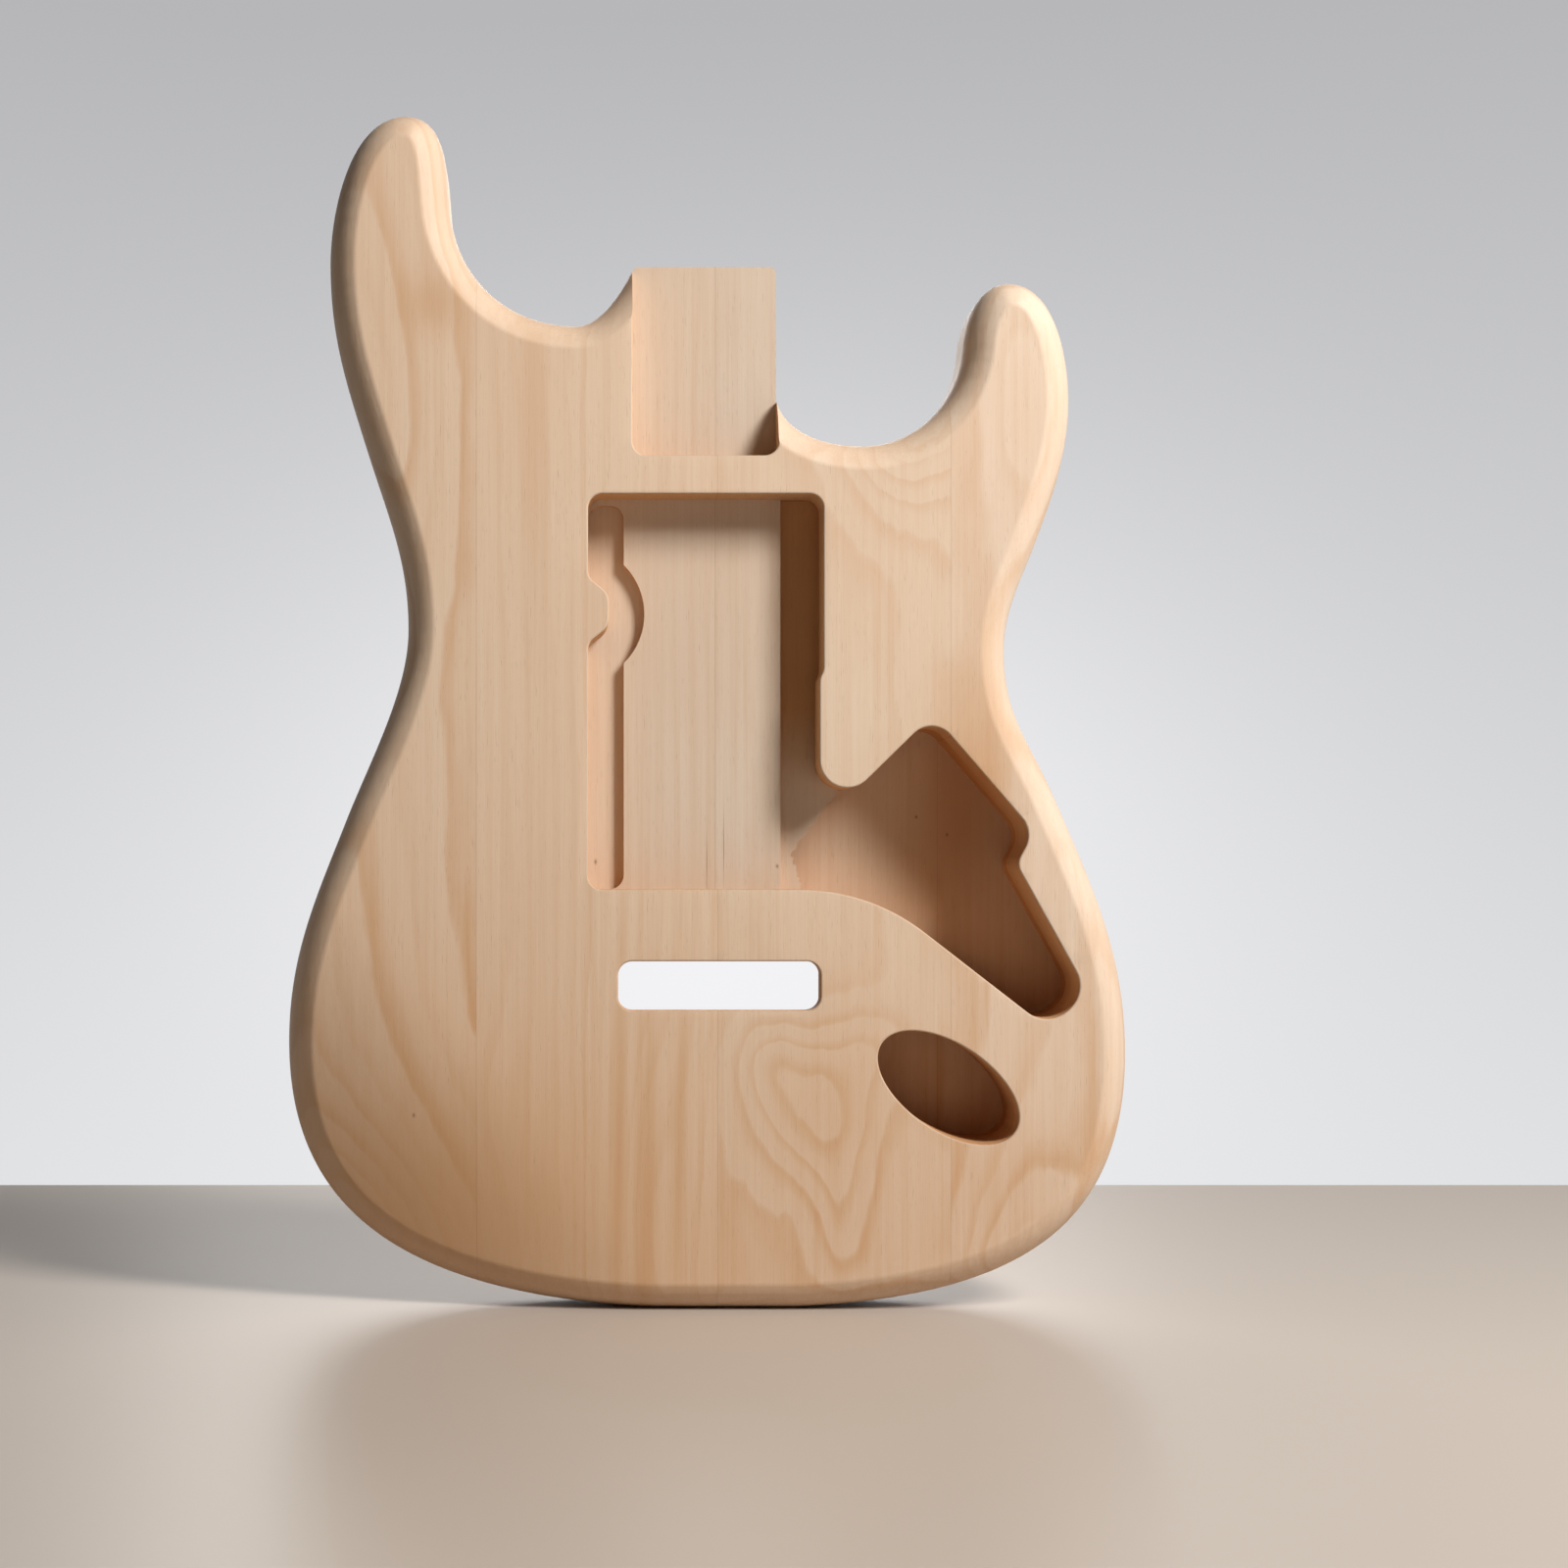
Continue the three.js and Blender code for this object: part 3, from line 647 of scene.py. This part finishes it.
def bore(name, start, end):
    mesh = bmesh.new()
    along = end - start
    turn = along.to_track_quat("Z", "Y").to_matrix().to_4x4()
    bmesh.ops.create_cone(
        mesh,
        cap_ends=True,
        segments=BORE_SIDES,
        radius1=BORE_DIAMETER / 2 / MM_PER_METRE,
        radius2=BORE_DIAMETER / 2 / MM_PER_METRE,
        depth=along.length,
        matrix=Matrix.Translation((start + end) / 2) @ turn,
    )
    return finished(name, mesh)


def bores():
    """One bore from the end of the control cavity to the jack, and one from its ledge to the springs."""
    lower, upper = rout_walls()["control"][:2]
    _, _, radius = CONTROL_SHARES[1]
    depth = FRONT - JACK_BORE_DEPTH
    control_end = place(lower[-1].x - radius, (lower[-1].y + upper[0].y) / 2 + radius / 2, depth)
    ground_depth = (CONTROL_FLOOR + SPRING_FLOOR) / 2
    ground_rise = ROUT_BOTTOM + LEDGE_RISE
    springs_end = place(NECK_AXIS, ground_rise, ground_depth)
    ledge_end = place(ROUT_RIGHT, ground_rise, ground_depth)
    return [
        bore("jack_bore", control_end, place(JACK_ACROSS, JACK_RISE, depth)),
        bore("ground_bore", springs_end, ledge_end),
    ]


def combine(obj, others, operation, material):
    """Cuts obj by the others, or cuts it down to them, and deletes them. The cut faces take the material."""
    for other in others:
        other.data.materials.append(material)
        modifier = obj.modifiers.new(other.name, "BOOLEAN")
        modifier.solver = "MANIFOLD"
        modifier.material_mode = "TRANSFER"
        modifier.operation = operation
        modifier.object = other
    shaped = obj.evaluated_get(bpy.context.evaluated_depsgraph_get())
    data = bpy.data.meshes.new_from_object(shaped)
    obj.modifiers.clear()
    old = obj.data
    obj.data = data
    bpy.data.meshes.remove(old)
    for other in others:
        bpy.data.meshes.remove(other.data)


def board_block(node):
    """A block as wide as a board between its glue joints, which runs past the body everywhere else."""
    low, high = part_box(node)
    left = low.x * MM_PER_METRE - (OVERRUN if node == BOARDS[0] else 0)
    right = high.x * MM_PER_METRE + (OVERRUN if node == BOARDS[-1] else 0)
    points = rectangle(left, right, -OVERRUN, LENGTH + OVERRUN, 0)
    return plain_cutter(f"{node}_block", points, BACK - OVERRUN, FRONT + OVERRUN)


def make_boards():
    """The body, cut out of one block and then sawn into its boards, each in wood of its own."""
    body = slab()
    sanded = bpy.data.materials.new("sanded")
    routed = bpy.data.materials.new("routed")
    body.data.materials.append(sanded)
    combine(body, tongue_cutters(), "DIFFERENCE", sanded)
    combine(body, [*front_cutters(), *back_cutters(), *bores()], "DIFFERENCE", routed)
    for node, look in WOODS.items():
        board = link(bpy.data.objects.new(node.replace("board", "wood"), body.data.copy()))
        combine(board, [board_block(node)], "INTERSECT", sanded)
        for i, material in enumerate(board.data.materials[:]):
            cut = material == routed
            board.data.materials[i] = wood_material(f"{board.name}_{material.name}", look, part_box(node), cut)
        for polygon in board.data.polygons:
            polygon.use_smooth = True
        board.data.set_sharp_from_angle(angle=math.radians(SHARP_ANGLE))
        weighted = board.modifiers.new("even_shading", "WEIGHTED_NORMAL")
        weighted.keep_sharp = True
        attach(board, "root")
        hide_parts(node)
    bpy.data.meshes.remove(body.data)
    bpy.data.materials.remove(sanded)
    bpy.data.materials.remove(routed)


class Graph:
    """A node tree written as expressions: each call adds a node and gives its output."""

    def __init__(self, tree):
        self.tree = tree
        tree.nodes.clear()

    def node(self, kind, inputs=(), output=0, **settings):
        made = self.tree.nodes.new(kind)
        for name, value in settings.items():
            setattr(made, name, value)
        named = inputs.items() if isinstance(inputs, dict) else enumerate(inputs)
        for key, value in named:
            if isinstance(value, bpy.types.NodeSocket):
                self.tree.links.new(value, made.inputs[key])
            else:
                made.inputs[key].default_value = value
        return made.outputs[output] if made.outputs else made

    def math(self, operation, *values):
        return self.node("ShaderNodeMath", values, operation=operation)

    def add(self, a, b):
        return self.math("ADD", a, b)

    def subtract(self, a, b):
        return self.math("SUBTRACT", a, b)

    def multiply(self, a, b):
        return self.math("MULTIPLY", a, b)

    def largest(self, a, b):
        return self.math("MAXIMUM", a, b)

    def absolute(self, value):
        return self.math("ABSOLUTE", value)

    def scaled(self, vector, scale):
        return self.node("ShaderNodeVectorMath", (vector, scale), operation="MULTIPLY")

    def separate(self, vector):
        return self.node("ShaderNodeSeparateXYZ", (vector,)).node.outputs

    def noise(self, vector, lengths, detail=2.0, roughness=0.5):
        """Noise from 0 to 1 whose features have about these lengths along each axis."""
        inputs = {
            "Vector": self.scaled(vector, tuple(1 / length for length in lengths)),
            "Scale": 1.0,
            "Detail": detail,
            "Roughness": roughness,
        }
        return self.node("ShaderNodeTexNoise", inputs)

    def sway(self, vector, lengths, reach, detail=2.0):
        """Noise about 0 that would run from -reach / 2 to reach / 2."""
        return self.multiply(self.subtract(self.noise(vector, lengths, detail), 0.5), reach)

    def ramp(self, value, stops):
        """A curve through stops of (position, level)."""
        made = self.node("ShaderNodeValToRGB", (value,)).node
        elements = made.color_ramp.elements
        while len(elements) < len(stops):
            elements.new(0.5)
        for element, (position, level) in zip(elements, stops):
            element.position = position
            element.color = (level, level, level, 1)
        return made.outputs[0]

    def range(self, value, low, high, to_low=0.0, to_high=1.0):
        """How far the value has come from low to high, as a level from to_low to to_high."""
        return self.node("ShaderNodeMapRange", (value, low, high, to_low, to_high), clamp=True)

    def at_least(self, value, lowest):
        """A value from 0 to 1, brought into the range from lowest to 1."""
        return self.range(value, 0.0, 1.0, lowest, 1.0)

    def mix(self, factor, a, b, blend="MIX"):
        inputs = {"Factor": factor, 6: a, 7: b}
        return self.node("ShaderNodeMix", inputs, output=2, data_type="RGBA", blend_type=blend)

    def tint(self, share, colour, tone):
        """The colour times a tone, as far as the share goes."""
        return self.mix(share, colour, tone, "MULTIPLY")

    def hump(self, x, z, centre, half_sizes):
        """1 at the centre, falling away like a bell over its half width and half height."""
        offset_x = self.multiply(self.subtract(x, centre[0]), 1 / half_sizes[0])
        offset_z = self.multiply(self.subtract(z, centre[1]), 1 / half_sizes[1])
        square = self.add(self.multiply(offset_x, offset_x), self.multiply(offset_z, offset_z))
        return self.math("EXPONENT", self.multiply(square, -1.0))


def new_material(name):
    material = bpy.data.materials.new(name)
    material.use_nodes = True
    return material, Graph(material.node_tree)


def srgb(red, green, blue):
    """A colour as a screen shows it, from 0 to 255, as the linear colour that a material takes."""
    linear = []
    for level in (red, green, blue):
        share = level / 255
        linear.append(share / 12.92 if share <= 0.04045 else ((share + 0.055) / 1.055) ** 2.4)
    return (*linear, 1)


# The wood's own places, in millimetres: x across the board, y from the front at -FRONT to the back at FRONT,
# and z up from the butt. SIZE is how long a noise's features are along x, y and z, RANGE where something
# begins and where it is full, and SHARE how much of it there is.

# How many octaves the coarse and the fine noises have, and how rough the fine ones are
COARSE_DETAIL = 1
FINE_DETAIL = 3
FINE_ROUGHNESS = 0.6

# Growth rings
WANDER_SIZE = (85, 60, 300)
WANDER_REACH = 26
RIPPLE_SIZE = (6, 6, 40)
RIPPLE_REACH = 2.6
WOBBLE_SIZE = (26, 26, 44)
UNEVEN_SIZE = (14, 14, 14)
LATE_WOOD_STOPS = ((0, 0.0), (0.45, 0.14), (0.82, 1.0), (0.9, 0.88), (1.0, 0.0))
FAINTEST_RING_SHARE = 0.2
PATCH_SIZE = (55, 55, 120)
PATCH_RANGE = (0.35, 0.65)
FAINTEST_PATCH_SHARE = 0.5
CUT_LATE_SHARE = 0.55

# Browner towards the butt
LOW_RANGE = (190, 20)
LOW_WANDER = 2
LOW_SHARE = 0.32
HIGH_LATE_SHARE = 0.65

# Fibres, streaks and pores along the board
FIBRE_SIZE = (0.55, 0.55, 42)
FIBRE_RANGE = (0.3, 0.7)
FIBRE_SHARE = 0.12
FIBRE_RELIEF = 0.6
STREAK_SIZE = (2.6, 4, 190)
STREAK_RANGE = (0.4, 0.7)
STREAK_SHARE = 0.18
PORE_SIZE = (0.32, 0.32, 6)
PORE_RANGE = (0.66, 0.74)
PORE_SHARE = 0.18
PORE_RELIEF = -0.5

# Blotches, stains and patches of painted shade, specks and glue lines
BLOTCH_SIZE = (70, 70, 130)
BLOTCH_RANGE = (0.42, 0.66)
BLOTCH_SHARE = 0.28
STAIN_AND_SHADE_WANDER = 0.5
SPECK_SHARE = 0.75
GLUE_LINE_RANGE = (0.05, 0.3)
GLUE_LINE_SHARE = 0.2

# End grain
END_GRAIN_RANGE = (0.35, 0.95)
END_GRAIN_SHARE = 0.8
END_DOT_SIZE = (0.7, 0.7, 30)
END_DOT_RANGE = (0.35, 0.65)
END_GRAIN_TINT = (0.92, 0.86, 0.80, 1)
END_GRAIN_DARK_TINT = (0.78, 0.68, 0.58, 1)

# Routed wood: the walls, with their cutter marks, and the deep floors, both darkened with painted shade. The
# deep floors have less painted shade below CAVITY_RANGE, at the treble channel's lower end and where the
# control cavity begins
WALL_RANGE = (0.9, 0.4)
WALL_SHADE_SHARE = 0.8
WALL_SHADE_TINT = (0.86, 0.67, 0.45, 1)
MARK_SIZE = (3.5, 1.1, 3.5)
MARK_RELIEF = 0.8
ROUTED_TINT = (0.89, 0.93, 0.98, 1)
DEEP_SHADE_TINT = (0.80, 0.54, 0.28, 1)
DEEP_SHADE_SHARE = 0.9
DEEP_SHADE_FADE = 3
CAVITY_RANGE = (6, 12)
CAVITY_LESS = 0.55
CHANNEL_END_RANGE = (196, 232)
CHANNEL_END_SHARE = 0.1
BELOW_CHANNEL_RANGE = (6, 8)
CAVITY_START_RANGE = (48, 98)
CAVITY_START_SHARE = 0.65
ABOVE_CAVITY_RANGE = (8, 4)

# Rounded edges, painted paler than the faces: a painted sheen
SHEEN_TILT_RANGE = (0.97, 0.7)
EDGE_SHEEN = srgb(240, 222, 201)
EDGE_SHEEN_SHARE = 0.15

# The surface
BUMP_STRENGTH = 0.25
BUMP_HEIGHT = 0.25
ROUTED_ROUGHNESS = 0.68
SANDED_ROUGHNESS = (0.46, 0.56)
ROUTED_SPECULAR = 0.15
SANDED_SPECULAR = 0.28

# Each board's own wood. Humps are swirls and arches in the growth rings, as (centre, half sizes, rise),
# stains, some of them partly painted shade, are (centre, half sizes, strength) and specks (centre, half
# sizes), all by x and z.
TONES = {
    "pale": srgb(226, 202, 177),
    "tan": srgb(201, 156, 113),
    "dark": srgb(128, 88, 58),
    "pink": srgb(217, 181, 150),
    "wobble": 3,
    # Where the painted shade on the routed floors begins, by y
    "shade_from": -5,
}
WOODS = {
    "bass_outer_board": {
        **TONES,
        "pith": (-70, 85),
        "ring": 6.4,
        "late": 0.95,
        "humps": (
            ((-128, 352), (26, 60), 12),
            ((-152, -12), (68, 72), 78),
        ),
        "stains_and_shade": (
            ((-104, 386), (13, 12), 0.5),
            # A browner patch on the arm contour, partly painted shade that deepens the contour's shading
            ((-110, 34), (80, 62), 0.85),
        ),
        "specks": (((-112.5, 75), (0.5, 0.8)),),
    },
    "bass_inner_board": {
        **TONES,
        "shade_from": 2,
        "pith": (-182, 58),
        "ring": 6.2,
        "late": 0.42,
        "humps": (
            ((-84, 82), (14, 46), 9),
            ((-24, 40), (15, 75), 13),
        ),
        "stains_and_shade": (
            # A browner patch on the arm contour, partly painted shade that deepens the contour's shading
            ((-110, 34), (80, 62), 0.85),
            ((-34, 55), (2.6, 70), 0.75),
            ((-23, 30), (4, 75), 0.75),
            ((-10, 60), (2.4, 60), 0.65),
            ((-66, 330), (5, 70), 0.35),
        ),
        "specks": (
            ((-42.6, 172.2), (0.5, 0.9)),
            ((0.6, 172), (0.15, 10)),
        ),
    },
    "treble_inner_board": {
        **TONES,
        "pale": srgb(225, 204, 181),
        "pith": (36, 180),
        "ring": 7,
        "late": 0.7,
        "wobble": 8,
        "humps": (
            ((41, 78), (26, 31), 26),
            ((24, 96), (13, 17), 10),
            ((64, 102), (15, 17), 10),
            ((52, 34), (11, 27), 12),
            ((76, 362), (26, 42), 62),
        ),
        "stains_and_shade": (
            ((48, 80), (30, 34), 0.25),
            # A browner patch over the far part of the control cavity, partly painted shade that deepens the
            # shadow on its floor
            ((100, 190), (19, 46), 0.85),
        ),
        "specks": (
            ((7.2, 178), (0.15, 12)),
            ((28, 170.5), (0.5, 0.7)),
            ((84.8, 190), (0.5, 0.6)),
            ((97, 183), (0.6, 0.6)),
        ),
    },
    "treble_outer_board": {
        **TONES,
        "pale": srgb(228, 208, 187),
        "pith": (78, 96),
        "ring": 8,
        "late": 0.66,
        "wobble": 6,
        "humps": (
            ((121, -4), (22, 52), 34),
            ((118, 350), (12, 46), 12),
        ),
        "stains_and_shade": (
            ((112, 50), (20, 20), 0.2),
            # A browner patch over the far part of the control cavity, partly painted shade that deepens the
            # shadow on its floor
            ((100, 190), (19, 46), 0.85),
        ),
        "specks": (((97, 183), (0.5, 0.6)),),
    },
}


def late_wood(graph, look, point, wander):
    """The dark end of each growth ring, by the distance to the pith, pushed about by noise and the humps."""
    x, y, z = graph.separate(point)
    across = graph.subtract(graph.add(x, wander), look["pith"][0])
    into = graph.subtract(y, look["pith"][1])
    distance = graph.math("SQRT", graph.add(graph.multiply(across, across), graph.multiply(into, into)))
    ripple = graph.sway(point, RIPPLE_SIZE, RIPPLE_REACH)
    wobble = graph.sway(point, WOBBLE_SIZE, look["wobble"])
    growth = graph.add(graph.add(distance, ripple), wobble)
    for centre, half_sizes, rise in look["humps"]:
        growth = graph.add(growth, graph.multiply(graph.hump(x, z, centre, half_sizes), rise))
    uneven = graph.noise(graph.node("ShaderNodeCombineXYZ", (growth,)), UNEVEN_SIZE, COARSE_DETAIL)
    growth = graph.add(growth, graph.multiply(uneven, look["ring"]))
    rings = graph.multiply(growth, 1 / look["ring"])
    late = graph.ramp(graph.math("FRACT", rings), LATE_WOOD_STOPS)
    own = graph.node("ShaderNodeTexWhiteNoise", {"W": graph.math("FLOOR", rings)}, noise_dimensions="1D")
    late = graph.multiply(late, graph.at_least(own, FAINTEST_RING_SHARE))
    patch = graph.range(graph.noise(point, PATCH_SIZE), *PATCH_RANGE, FAINTEST_PATCH_SHARE, 1.0)
    return graph.multiply(late, patch)


def board_colour(graph, look, point, box, fibre, pore, late_share):
    """The colour of the planed board: rings, fibres, pores, blotches, stains and painted shade, specks and
    glue lines.
    """
    x, _, z = graph.separate(point)
    wander = graph.sway(point, WANDER_SIZE, WANDER_REACH, COARSE_DETAIL)
    low = graph.range(graph.add(z, graph.multiply(wander, LOW_WANDER)), *LOW_RANGE)
    late = graph.multiply(late_wood(graph, look, point, wander), graph.at_least(low, HIGH_LATE_SHARE))
    streak = graph.range(graph.noise(point, STREAK_SIZE, FINE_DETAIL, FINE_ROUGHNESS), *STREAK_RANGE)
    shade = graph.multiply(late, look["late"] * late_share)
    shade = graph.add(shade, graph.multiply(graph.range(fibre, *FIBRE_RANGE), FIBRE_SHARE))
    shade = graph.add(shade, graph.multiply(streak, STREAK_SHARE))
    shade = graph.add(shade, graph.multiply(low, LOW_SHARE))
    colour = graph.mix(shade, look["pale"], look["tan"])
    colour = graph.mix(graph.multiply(pore, PORE_SHARE), colour, look["dark"])
    blotch = graph.range(graph.noise(point, BLOTCH_SIZE), *BLOTCH_RANGE)
    colour = graph.mix(graph.multiply(blotch, BLOTCH_SHARE), colour, look["pink"])
    bent = graph.add(x, graph.multiply(wander, STAIN_AND_SHADE_WANDER))
    # Stains, some of them partly painted shade
    for centre, half_sizes, strength in look["stains_and_shade"]:
        stain_and_shade = graph.multiply(graph.hump(bent, z, centre, half_sizes), strength)
        colour = graph.mix(stain_and_shade, colour, look["tan"])
    for centre, half_sizes in look["specks"]:
        speck = graph.multiply(graph.hump(x, z, centre, half_sizes), SPECK_SHARE)
        colour = graph.mix(speck, colour, look["dark"])
    for side in (box[0].x, box[1].x):
        beside = graph.absolute(graph.subtract(x, side * MM_PER_METRE))
        glue = graph.range(beside, *GLUE_LINE_RANGE, GLUE_LINE_SHARE, 0.0)
        colour = graph.mix(glue, colour, look["dark"])
    return colour


def end_grain_colour(graph, point, colour, end_grain):
    dots = graph.range(graph.noise(point, END_DOT_SIZE), *END_DOT_RANGE)
    tone = graph.mix(dots, END_GRAIN_TINT, END_GRAIN_DARK_TINT)
    return graph.tint(graph.multiply(end_grain, END_GRAIN_SHARE), colour, tone)


def routed_colour_and_shade(graph, look, point, colour, wall):
    """The colour with painted shade: walls and deep floors browner than the shallow floors."""
    x, y, z = graph.separate(point)
    # Painted shade on the deep floors, less below CAVITY_RANGE, at the treble channel's lower end and where
    # the control cavity begins
    deep = graph.range(y, look["shade_from"], look["shade_from"] + DEEP_SHADE_FADE)
    deep = graph.subtract(deep, graph.range(y, *CAVITY_RANGE, 0.0, CAVITY_LESS))
    channel_end = graph.range(z, *CHANNEL_END_RANGE, CHANNEL_END_SHARE, 1.0)
    deep = graph.multiply(deep, graph.largest(channel_end, graph.range(y, *BELOW_CHANNEL_RANGE)))
    cavity_start = graph.range(x, *CAVITY_START_RANGE, CAVITY_START_SHARE, 1.0)
    deep = graph.multiply(deep, graph.largest(cavity_start, graph.range(y, *ABOVE_CAVITY_RANGE)))
    colour = graph.tint(graph.subtract(1.0, graph.largest(wall, deep)), colour, ROUTED_TINT)
    # Painted shade: the walls and the deep floors tinted darker and browner
    colour = graph.tint(graph.multiply(wall, WALL_SHADE_SHARE), colour, WALL_SHADE_TINT)
    return graph.tint(graph.multiply(deep, DEEP_SHADE_SHARE), colour, DEEP_SHADE_TINT)


def wood_material(name, look, box, cut):
    """Alder, as a router leaves it where it is cut, and sanded elsewhere."""
    material, graph = new_material(name)
    coordinates = graph.node("ShaderNodeTexCoord").node.outputs
    point = graph.scaled(coordinates["Object"], (MM_PER_METRE,) * 3)
    _, facing_front, facing_up = graph.separate(coordinates["Normal"])
    facing_front, facing_up = graph.absolute(facing_front), graph.absolute(facing_up)
    fibre = graph.noise(point, FIBRE_SIZE, FINE_DETAIL, FINE_ROUGHNESS)
    pore = graph.range(graph.noise(point, PORE_SIZE, COARSE_DETAIL), *PORE_RANGE)
    relief = graph.add(graph.multiply(fibre, FIBRE_RELIEF), graph.multiply(pore, PORE_RELIEF))
    colour = board_colour(graph, look, point, box, fibre, pore, CUT_LATE_SHARE if cut else 1)
    colour = end_grain_colour(graph, point, colour, graph.range(facing_up, *END_GRAIN_RANGE))
    if cut:
        wall = graph.range(facing_front, *WALL_RANGE)
        colour = routed_colour_and_shade(graph, look, point, colour, wall)
        marks = graph.multiply(graph.noise(point, MARK_SIZE), wall)
        relief = graph.add(relief, graph.multiply(marks, MARK_RELIEF))
    else:
        # Painted sheen: the rounded edges are paler the more they tilt from the face
        sheen_tilt = graph.range(facing_front, *SHEEN_TILT_RANGE)
        colour = graph.mix(graph.multiply(sheen_tilt, EDGE_SHEEN_SHARE), colour, EDGE_SHEEN)
    bump = {"Strength": BUMP_STRENGTH, "Distance": BUMP_HEIGHT / MM_PER_METRE, "Height": relief}
    surface = graph.node("ShaderNodeBsdfPrincipled", {
        "Base Color": colour,
        "Roughness": ROUTED_ROUGHNESS if cut else graph.range(fibre, *FIBRE_RANGE, *SANDED_ROUGHNESS),
        "Specular IOR Level": ROUTED_SPECULAR if cut else SANDED_SPECULAR,
        "Normal": graph.node("ShaderNodeBump", bump),
    })
    graph.node("ShaderNodeOutputMaterial", {"Surface": surface})
    return material


# The photograph: 1600 pixels square, with the front face of the body square on to it. MM_PER_PIXEL holds
# SCALE_DEPTH behind that face, where the outline shows past the rounded edge; CENTRE_PIXEL is where the
# middle of the body lies across the photograph, and GROUND_PIXEL the butt.
PIXELS = 1600
MM_PER_PIXEL = 0.378
CENTRE_PIXEL = 720.75
GROUND_PIXEL = 1335
SCALE_DEPTH = 9

# Where the camera stood
CAMERA_ACROSS = -53
CAMERA_HEIGHT = 172
CAMERA_DISTANCE = 1000

# The stage: a floor that goes on behind the body, and a grey world that pales downwards and round a glow, by
# the direction in which it is seen
FLOOR_BEHIND = 350
FLOOR_REACH = 3000
FLOOR_TONE = srgb(192, 180, 168)
FLOOR_ROUGHNESS = 0.4
FLOOR_SPECULAR = 0.25
BACKDROP_LOW = srgb(226, 227, 229)
BACKDROP_HIGH = srgb(182, 182, 185)
BACKDROP_RANGE = (-0.153, 0.306)
BACKDROP_GLOW = srgb(243, 243, 245)
BACKDROP_GLOW_CENTRE = (0.06, -0.024)
BACKDROP_GLOW_SIZE = (0.197, 0.164)
WORLD_TONE = srgb(245, 228, 210)
WORLD_STRENGTH = 0.03

# The key light and the fill behind the body: the direction to each, its distance, width, height and watts
LIGHT_COLOUR = (1, 0.985, 0.965)
KEY_DIRECTION = (0.6, -0.56, 0.6)
KEY_DISTANCE = 1450
KEY_SIZE = (360, 560)
KEY_POWER = 27.8
FILL_DIRECTION = (0.0, 0.92, 0.36)
FILL_DISTANCE = 1500
FILL_SIZE = (900, 700)
FILL_POWER = 8


def photo_point(across, down):
    """The point of the front face at a pixel of the photograph: x and y."""
    return (across - CENTRE_PIXEL) * MM_PER_PIXEL, (GROUND_PIXEL - down) * MM_PER_PIXEL


def add_camera():
    """A camera square on to the face, shifted as far as the photograph's frame is off its axis."""
    data = bpy.data.cameras.new("camera")
    camera = link(bpy.data.objects.new("camera", data))
    bpy.context.scene.camera = camera
    camera.location = place(CAMERA_ACROSS, CAMERA_HEIGHT, FRONT + CAMERA_DISTANCE)
    camera.rotation_euler = (math.pi / 2, 0, 0)
    width = PIXELS * MM_PER_PIXEL
    centre = photo_point(PIXELS / 2, PIXELS / 2)
    data.lens = data.sensor_width * (CAMERA_DISTANCE + SCALE_DEPTH) / width
    data.shift_x = (centre[0] - CAMERA_ACROSS) / width
    data.shift_y = (centre[1] - CAMERA_HEIGHT) / width


def add_light(name, towards, distance, size, power):
    """A soft lamp that shines on the middle of the body, from its distance towards one side."""
    data = bpy.data.lights.new(name, "AREA")
    data.shape = "RECTANGLE"
    data.size, data.size_y = (side / MM_PER_METRE for side in size)
    data.energy = power
    data.color = LIGHT_COLOUR
    light = link(bpy.data.objects.new(name, data))
    target = place(0, LENGTH / 2, 0)
    away = Vector(towards).normalized()
    light.location = target + away * distance / MM_PER_METRE
    light.rotation_euler = away.to_track_quat("Z", "Y").to_euler()


def floor_material():
    material, graph = new_material("pale_floor")
    surface = graph.node("ShaderNodeBsdfPrincipled", {
        "Base Color": FLOOR_TONE,
        "Roughness": FLOOR_ROUGHNESS,
        "Specular IOR Level": FLOOR_SPECULAR,
    })
    graph.node("ShaderNodeOutputMaterial", {"Surface": surface})
    return material


def add_world():
    """A dim warm light from all around, and the grey that the camera, gloss and glass see instead of it."""
    world = bpy.data.worlds.new("studio")
    bpy.context.scene.world = world
    world.use_nodes = True
    graph = Graph(world.node_tree)
    across, _, rise = graph.separate(graph.node("ShaderNodeTexCoord").node.outputs["Generated"])
    grey = graph.mix(graph.range(rise, *BACKDROP_RANGE), BACKDROP_LOW, BACKDROP_HIGH)
    grey = graph.mix(graph.hump(across, rise, BACKDROP_GLOW_CENTRE, BACKDROP_GLOW_SIZE), grey, BACKDROP_GLOW)
    rays = graph.node("ShaderNodeLightPath").node.outputs
    seen = graph.largest(rays["Is Camera Ray"], rays["Is Glossy Ray"])
    seen = graph.largest(seen, rays["Is Transmission Ray"])
    background = graph.node("ShaderNodeBackground", {
        "Color": graph.mix(seen, WORLD_TONE, grey),
        "Strength": graph.range(seen, 0.0, 1.0, WORLD_STRENGTH, 1.0),
    })
    graph.node("ShaderNodeOutputWorld", {"Surface": background})


def sheet(name, corners, material):
    """A flat sheet of the stage, through corners in the drawing's millimetres."""
    mesh = bmesh.new()
    mesh.faces.new([mesh.verts.new(place(*corner)) for corner in corners])
    made = finished(name, mesh)
    made.data.materials.append(material)


def add_stage():
    behind = BACK - FLOOR_BEHIND
    floor = [
        (-FLOOR_REACH, 0, FLOOR_REACH),
        (FLOOR_REACH, 0, FLOOR_REACH),
        (FLOOR_REACH, 0, behind),
        (-FLOOR_REACH, 0, behind),
    ]
    sheet("floor", floor, floor_material())
    add_world()


make_boards()
add_camera()
add_light("key", KEY_DIRECTION, KEY_DISTANCE, KEY_SIZE, KEY_POWER)
add_light("back_fill", FILL_DIRECTION, FILL_DISTANCE, FILL_SIZE, FILL_POWER)
add_stage()
bpy.context.scene.view_settings.view_transform = "Standard"
